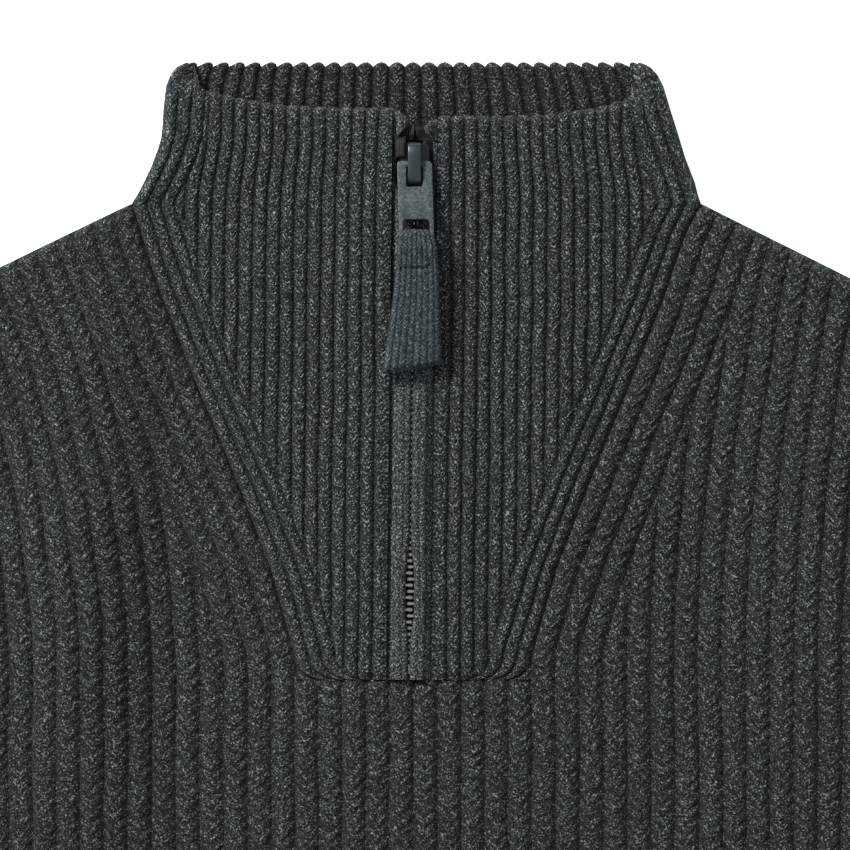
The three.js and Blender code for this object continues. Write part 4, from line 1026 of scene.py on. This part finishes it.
def bail():
    """The bail: a flat bar with round edges carried over an arch, from the slider's foot to its top."""
    shell = Shell()
    base = CHAIN_Z + SLIDER_LIFT + SLIDER["mouth"] + SLIDER["plate"] - 0.25
    rise = BAIL["rise"] + 0.25 - BAIL["wire"] / 2
    mid = (BAIL["foot"] + BAIL["top"]) / 2
    reach = (BAIL["top"] - BAIL["foot"] - BAIL["wire"]) / 2
    t = np.linspace(0, math.pi, 33)
    power = np.where(t < math.pi / 2, 0.36, 0.5)
    path_y = mid - reach * np.sign(np.cos(t)) * np.abs(np.cos(t)) ** power
    path_z = base + rise * np.abs(np.sin(t)) ** power
    way = np.stack([np.gradient(path_y), np.gradient(path_z)], -1)
    way /= np.linalg.norm(way, axis=1)[:, None]
    across, out = rounded(BAIL["width"], -BAIL["wire"] / 2, BAIL["wire"] / 2, 0.42, steps=4).T[:, None, :]
    y = path_y[:, None] - way[:, 1:2] * out
    z = path_z[:, None] + way[:, 0:1] * out
    ids = shell.grid(SLIDER_X + across, y, z)
    shell.skin(closed(ids), turned=True)
    shell.cap(ids[0], False)
    shell.cap(ids[-1], True)
    return shell.piece("metal_zip_bail", 50)


def loop_fall(s):
    """How far the loop has come down at s along it, past the tab's foot."""
    return -np.maximum(0, s - PULL["foot"] - LOOP["bar"]) * math.tan(LOOP["fall"])


def loop_outline(count):
    """The loop's outer outline and the outline of its hole, in the pull's frame, as (s, z) with s down it:
    along the top, round the foot, back along the underside and round the tab's lowest bar."""
    bar_top, bar_foot = LOOP_HOLE["foot"] - LOOP["bar"], PULL["foot"] + LOOP["bar"]
    half = PULL["thick"] / 2 + GAP
    outer = half + LOOP["layer"]

    def both(s, thick):
        upper = np.stack([s, loop_fall(s) + thick], -1)
        lower = np.stack([s, loop_fall(s) - thick], -1)
        return np.concatenate([upper, lower[::-1]])

    s = np.linspace(bar_top - LOOP["layer"], LOOP["foot"], count)
    tail = mix(outer, LOOP["layer"] + 0.25, smooth(s, bar_foot, LOOP["join"]))
    nose = np.sqrt(np.clip(1 - ((bar_top - s) / LOOP["layer"]) ** 2, 0, 1))
    end = np.sqrt(np.clip(1 - ((s - LOOP["foot"] + 1.2) / 1.2).clip(0) ** 2, 0, 1))
    thick = np.where(s < bar_top, outer * (0.35 + 0.65 * nose), tail) * (0.3 + 0.7 * end)
    hole_s = np.linspace(bar_top, bar_foot + 2.2, count)
    hole_half = np.minimum(half, half * (bar_foot + 2.2 - hole_s) / 2.2)
    return both(s, thick), both(hole_s, np.maximum(hole_half, 0.02))


def pull_loop():
    """The knit loop on the pull: a jersey strip folded through the hole, its two layers sewn together. Both
    outlines are carried across by each column's share of the loop's width."""
    shell = Shell()
    knit = LOOP_KNIT
    ribs, count = 8, 150
    number = columns(-ribs, ribs, knit)[:, None]
    face = np.repeat([True, False], count)

    def place(outline, share, wide):
        s = outline[:, 0]
        slant = LOOP["slant"] * smooth(s, LOOP["foot"] - 6, LOOP["foot"])
        return s, share * wide + np.interp(s, LOOP_S, LOOP_SHIFT), share * slant - s, outline[:, 1]

    def add(x, y, z, *knit_at):
        at = swing(np.stack(np.broadcast_arrays(x, y, z), -1))
        return shell.grid(at[..., 0], at[..., 1], at[..., 2], *knit_at)

    outer, hole = loop_outline(count)
    share = number / (2 * ribs)
    back_wide = np.interp(outer[:, 0], LOOP_S, LOOP_WIDE)
    wide = np.where(face, np.interp(outer[:, 0], FRONT_S, FRONT_WIDE), back_wide)
    s, x, y, z = place(outer, share, wide)
    edge = np.sqrt(np.clip(1 - (np.abs(share) / 0.5) ** 9, 0, 1))
    high, stitch = relief(number, -s[None, :], knit, 91)
    line = SEWN_S - 1.1 * smooth(share, 0.15, 0.4)
    sewn = 0.75 * np.exp(-(((s - line) / 0.42) ** 2)) * (np.abs(share + 0.02) < 0.36) * face
    raised = np.where(face, 1, -1) * (high * edge - sewn) * smooth(s, 17.8, 19)
    z = loop_fall(s) + (z - loop_fall(s)) * mix(0.25, 1, edge) + raised
    outer_ids = add(x, y, z, number * knit["rib"] / 2, stitch)
    _, x, y, z = place(hole, np.linspace(-0.5, 0.5, 5)[:, None], np.interp(hole[:, 0], LOOP_S, LOOP_WIDE))
    hole_ids = add(x, y, z)
    shell.skin(closed(outer_ids))
    shell.skin(closed(hole_ids), turned=True)
    shell.ring_ends(outer_ids, hole_ids)
    return shell.piece("knit_pull_loop", 70)


# Materials

def colour(code):
    """sRGB hex to linear."""
    parts = [int(code[i:i + 2], 16) / 255 for i in (1, 3, 5)]
    return tuple(p / 12.92 if p <= 0.04045 else ((p + 0.055) / 1.055) ** 2.4 for p in parts) + (1,)


class Nodes:
    """A node tree, with a short call for each kind of node that repeats."""

    def __init__(self, tree):
        self.tree = tree

    def add(self, kind, settings=None, **inputs):
        """Adds a node, sets its settings, and sets or links its inputs, each named, or numbered as in_0.
        Returns its outputs."""
        made = self.tree.nodes.new("ShaderNode" + kind)
        for key, value in (settings or {}).items():
            setattr(made, key, value)
        for key, value in inputs.items():
            where = made.inputs[int(key[3:])] if key.startswith("in_") else made.inputs[key.replace("_", " ")]
            if isinstance(value, bpy.types.NodeSocket):
                self.tree.links.new(value, where)
            else:
                where.default_value = value
        return made.outputs

    def maths(self, operation, a, b=0.0, c=0.0):
        """One step of arithmetic."""
        return self.add("Math", {"operation": operation}, in_0=a, in_1=b, in_2=c)[0]

    def scaled(self, a, by, plus=0.0):
        """a * by + plus."""
        return self.maths("MULTIPLY_ADD", a, by, plus)

    def noise(self, at, size, detail, rough=0.5):
        """Noise with spots of about that many millimetres."""
        return self.add("TexNoise", Vector=at, Scale=1 / (size * MM), Detail=detail, Roughness=rough)[0]

    def ramp(self, value, stops):
        """A colour ramp of (place, hex) stops."""
        made = self.tree.nodes.new("ShaderNodeValToRGB")
        self.tree.links.new(value, made.inputs[0])
        while len(made.color_ramp.elements) < len(stops):
            made.color_ramp.elements.new(0.5)
        for element, (place, code) in zip(made.color_ramp.elements, stops):
            element.position = place
            element.color = colour(code)
        return made.outputs[0]

    def bumps(self, height, strength, deep):
        """A normal for relief that many millimetres deep."""
        return self.add("Bump", Strength=strength, Distance=deep * MM, Height=height)[0]

    def end(self, **inputs):
        """Ends a material with one principled shader."""
        self.add("OutputMaterial", Surface=self.add("BsdfPrincipled", **inputs)[0])


def new_material(name):
    """An empty material and its nodes."""
    made = bpy.data.materials.new(name)
    made.use_nodes = True
    made.node_tree.nodes.clear()
    return made, Nodes(made.node_tree)


def heather_wool(name, knit, stops, order, groove=0.6, depth=1.0, contrast=3.7):
    """Spun lambswool in heather yarn. Dark and pale fibres lie along each leg of a stitch, so the flecks are
    long along the yarn, with shorter ones across them where the nap stands up: order is the share of the
    first. u runs across the ribs and v up the stitches. The way from a rib's crest is
    abs(mod(u / half rib, 2) - 1), and painted shade darkens the groove at its end by the share groove. The
    colour is also a little darker where the stitch legs meet, as painted shade."""
    made, t = new_material(name)
    uv = t.add("SeparateXYZ", in_0=t.add("UVMap", {"uv_map": "knit"})[0])
    u, v = uv[0], uv[1]
    at = t.add("TexCoord")["Object"]

    def flecks(length, width, seed):
        place = t.add("CombineXYZ", in_0=t.scaled(u, 1 / length), in_1=t.scaled(v, 1 / width), in_2=seed)[0]
        return t.add("TexNoise", Vector=place, Scale=1.0, Detail=1.5, Roughness=0.6)[0]

    fine, broad = flecks(1.05, 0.42, 3.0), flecks(2.6, 1.1, 9.0)
    nap = t.noise(at, 0.5, 1.0, 0.65)
    stray = t.scaled(t.noise(at, 1.6, 2.0, 0.65), 0.9, -0.45)
    turn = t.maths("FRACT", t.scaled(v, 1 / knit["row"], stray))
    yarn = t.maths("POWER", t.maths("SINE", t.scaled(turn, math.pi)), 0.6)
    # Where the groove's painted shade falls: 0 on a rib's crest to 1 in its groove, its edge made ragged by
    # the flecks
    across = t.maths("FLOORED_MODULO", t.scaled(u, 2 / knit["rib"]), 2.0)
    across = t.maths("ABSOLUTE", t.scaled(across, 1.0, -1.0))
    across = t.maths("ADD", across, t.scaled(fine, 0.9, -0.45))
    deep = t.add("MapRange", {"interpolation_type": "SMOOTHSTEP"}, in_0=across, in_1=0.4, in_2=0.95)[0]

    tone = t.scaled(fine, 0.85 * order, -0.54)
    tone = t.scaled(nap, 0.85 * (1 - order), tone)
    tone = t.scaled(broad, 0.15, tone)
    # Painted shade between stitches: darker where two legs meet, paler along each leg's middle
    tone = t.scaled(yarn, 0.06, tone)
    colours = t.ramp(t.scaled(tone, contrast, 0.5), stops)
    # Painted shade: the colour darkens in the groove between ribs, by the share groove
    shade = t.scaled(deep, -groove, 1.0)
    colours = t.add("VectorMath", {"operation": "SCALE"}, in_0=colours, in_3=shade)[0]

    height = t.scaled(fine, 1.6 * order, t.scaled(yarn, 0.35))
    height = t.scaled(nap, 1.6 * (1 - order), height)
    t.end(Base_Color=colours, Roughness=0.95, Normal=t.bumps(height, 0.9, depth * 0.5),
          Sheen_Weight=0.08, Sheen_Roughness=0.6, Specular_IOR_Level=0.06)
    return made


def woven_tape(name):
    """Polyester zip tape: a close, flat weave, nearly black, with a faint gloss."""
    made, t = new_material(name)
    at = t.add("SeparateXYZ", in_0=t.add("TexCoord")["Object"])
    thread = math.pi / (0.55 * MM)
    warp, weft = (t.maths("ABSOLUTE", t.maths("SINE", t.scaled(at[i], thread))) for i in (0, 1))
    weave = t.maths("MULTIPLY", warp, weft)
    colours = t.ramp(weave, [(0, "#08090b"), (1, "#1b1f23")])
    t.end(Base_Color=colours, Roughness=0.7, Normal=t.bumps(weave, 0.6, 0.12))
    return made


def plated_metal(name, code, roughness, wear):
    """Plated zinc, polished: smooth with fine wear, so highlights are tight but not mirror clean."""
    made, t = new_material(name)
    grain = t.noise(t.add("TexCoord")["Object"], 0.35, 3.0)
    rough = t.scaled(grain, wear, roughness - wear / 2)
    t.end(Base_Color=colour(code), Metallic=1.0, Roughness=rough, Normal=t.bumps(grain, 0.15, 0.03))
    return made


def blasted_paint(name):
    """Matt paint on a sand-blasted zinc tab: a fine pebbled grain that sparkles a little."""
    made, t = new_material(name)
    at = t.add("TexCoord")["Object"]
    grain, cloud = t.noise(at, 0.55, 1.0), t.noise(at, 4, 2.0)
    tone = t.scaled(grain, 0.7, t.scaled(cloud, 0.3))
    colours = t.ramp(tone, [(0.3, "#2e3538"), (0.5, "#444e51"), (0.7, "#646f71")])
    t.end(Base_Color=colours, Roughness=0.46, Normal=t.bumps(grain, 0.55, 0.1), Metallic=0.25,
          Specular_IOR_Level=0.5)
    return made


def dress(piece, material, slot, *nodes, body="garment"):
    """Gives a piece its material and body, and hides the solids that it stands for. slot is not used."""
    piece.data.materials.clear()
    piece.data.materials.append(material)
    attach(piece, body)
    if nodes:
        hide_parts(*nodes)
    return piece


# Yarn tones from the darkest fibres to the palest, each at its place on the ramp
PLACES = (0.1, 0.34, 0.5, 0.66, 0.8, 0.96)
WOOL = list(zip(PLACES, ("#0c0e10", "#171b1e", "#25292c", "#393e40", "#545a5b", "#929795")))
TRIM_WOOL = list(zip(PLACES, ("#0d1011", "#191e20", "#282d2f", "#3d4344", "#596161", "#9aa19e")))
# The collar's inside: darker tones than the rib's, painted shade for the inside, which lies in the shade of
# the front's edge
SHADED_INNER_WOOL = list(zip(PLACES, ("#0a0c0e", "#14171a", "#222528", "#35393c", "#4e5355", "#878b8a")))
BAND_WOOL = list(zip(PLACES, ("#15181a", "#292e30", "#3a3f41", "#4d5355", "#677070", "#9ca19f")))
LOOP_YARN = list(zip(PLACES, ("#1a1f22", "#2b3235", "#3a4346", "#4c5659", "#626d72", "#8a9498")))
body_wool = heather_wool("heather lambswool, body", BODY_KNIT, WOOL, 0.36, 0.38, 1.2, 3.3)
trim_wool = heather_wool("heather lambswool, rib", TRIM_KNIT, TRIM_WOOL, 0.4, 0.65)
edge_wool = heather_wool("heather lambswool, hem rib", EDGE_KNIT, WOOL, 0.4, 0.75)
# Darker wool and a deeper groove: painted shade for the collar's inside
shaded_inner_wool = heather_wool("heather lambswool, collar inside", INNER_KNIT, SHADED_INNER_WOOL, 0.4, 0.8)
band_wool = heather_wool("heather lambswool, plain band", JERSEY_KNIT, BAND_WOOL, 0.35, 0.4)
loop_yarn = heather_wool("plain yarn, pull loop", LOOP_KNIT, LOOP_YARN, 0.5, 0.6, 0.7, 3.0)
tape_weave = woven_tape("polyester zip tape, woven")
teeth_metal = plated_metal("nickel plated teeth", "#c4c6c4", 0.3, 0.15)
# One gunmetal in two copies: the slider's darker base colour is painted shade, and the bail's paler one a
# painted highlight for the light that its face catches
slider_metal = plated_metal("gunmetal slider", "#3a4043", 0.36, 0.12)
bail_metal = plated_metal("gunmetal bail", "#4d5558", 0.42, 0.12)
pull_paint = blasted_paint("sand-blasted painted zinc")


def plan_area(piece):
    """The area that a piece covers in plan, in square metres: half the sum of its triangles' plan areas."""
    at, triangles = mesh_arrays(piece.data)
    a, b, c = (at[triangles[:, i], :2].astype(float) for i in range(3))
    cross = (b - a)[:, 0] * (c - a)[:, 1] - (b - a)[:, 1] * (c - a)[:, 0]
    return float(np.abs(cross).sum() / 4)


def lay(piece):
    """Works out the area that a piece covers in plan, and leaves it unused. A tube's own inner wall makes its
    plan area that of its whole way round."""
    plan_area(piece)


front = dress(body_front(), body_wool, "body_knit", "body_front")
back = dress(body_back(), body_wool, "body_knit", "body_back")
hem_front = dress(hem(True), edge_wool, "rib_knit", "hem_front")
hem_back = dress(hem(False), edge_wool, "rib_knit", "hem_back")
lay(front)
lay(back)
lay(hem_front)
lay(hem_back)

for side in ("left", "right"):
    sleeve = flattened_tube(f"knit_sleeve_{side}", sleeve_points, 190, SLEEVE_RIBS, BODY_KNIT, side)
    dress(sleeve, body_wool, "body_knit", f"sleeve_{side}")
    lay(sleeve)
    cuff = flattened_tube(f"knit_cuff_{side}", cuff_points, CUFF_LENGTH, CUFF_RIBS, EDGE_KNIT, side)
    dress(cuff, edge_wool, "rib_knit", f"cuff_{side}")
    lay(cuff)
    yoke = dress(collar_yoke(side), trim_wool, "rib_knit", f"collar_yoke_{side}")
    strip = dress(band(side), band_wool, "plain_knit", f"zip_band_{side}")
    lay(yoke)
    tape = dress(zip_tape(side), tape_weave, "zip_tape", f"zip_tape_{side}")
    lay(tape)
    dress(zip_teeth(side), teeth_metal, "zip_metal")

neck = dress(collar_back(), shaded_inner_wool, "rib_knit", "collar_back")
lay(neck)

dress(slider_body(), slider_metal, "slider_metal", "zip_slider")
dress(bail(), bail_metal, "slider_metal")
dress(pull_tab(), pull_paint, "pull_paint", "pull_tab", body="puller")
loop = dress(pull_loop(), loop_yarn, "loop_knit", "pull_loop", body="puller")
lay(loop)

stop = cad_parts["zip_bottom_stop"]
stop.data.materials.clear()
stop.data.materials.append(teeth_metal)


# Floor, light and camera

def floor():
    """A wide pale floor that glows, as the photo is a cut-out on white."""
    mesh = bpy.data.meshes.new("floor")
    reach = 6.0
    corners = [(-reach, -reach, 0), (reach, -reach, 0), (reach, reach, 0), (-reach, reach, 0)]
    mesh.from_pydata(corners, [], [(0, 1, 2, 3)])
    made, t = new_material("pale painted floor")
    t.end(Base_Color=colour("#f6f6f6"), Roughness=0.9, Emission_Color=colour("#ffffff"),
          Emission_Strength=FLOOR_GLOW)
    mesh.materials.append(made)
    piece = add_object("floor", mesh)


def area_light(name, place, aim, size, power):
    """A white round light at a place, turned to look at aim."""
    lamp = bpy.data.lights.new(name, "AREA")
    lamp.shape = "DISK"
    lamp.size = size
    lamp.energy = power
    piece = add_object(name, lamp)
    piece.location = place
    way = np.array(aim) - np.array(place)
    piece.rotation_euler = (
        math.atan2(math.hypot(way[0], way[1]), -way[2]),
        0,
        math.atan2(way[1], way[0]) - math.pi / 2,
    )


floor()
middle = put([PHOTO_MIDDLE[0], PHOTO_MIDDLE[1], 6])
area_light("key", (-1.25, 1.35, 1.2), middle, 0.6, 61)
area_light("fill", (1.3, -1.0, 1.7), middle, 1.6, 6)

world = bpy.data.worlds.new("studio")
bpy.context.scene.world = world
world.use_nodes = True
sky = Nodes(world.node_tree)
sky_up = sky.add("SeparateXYZ", in_0=sky.add("TexCoord")["Generated"])[2]
sky_tone = sky.ramp(sky_up, [(0.1, "#4a4c50"), (0.75, "#fbfcff")])
background = world.node_tree.nodes["Background"]
world.node_tree.links.new(sky_tone, background.inputs[0])
background.inputs[1].default_value = 0.45
bpy.context.scene.view_settings.view_transform = "Standard"

camera = bpy.data.cameras.new("camera")
camera.sensor_width = SENSOR
camera.lens = SENSOR * CAMERA_HEIGHT / PHOTO_WIDTH
camera.clip_end = 50
eye = add_object("camera", camera)
eye.location = (middle[0], middle[1], middle[2] + CAMERA_HEIGHT * MM)
bpy.context.scene.camera = eye
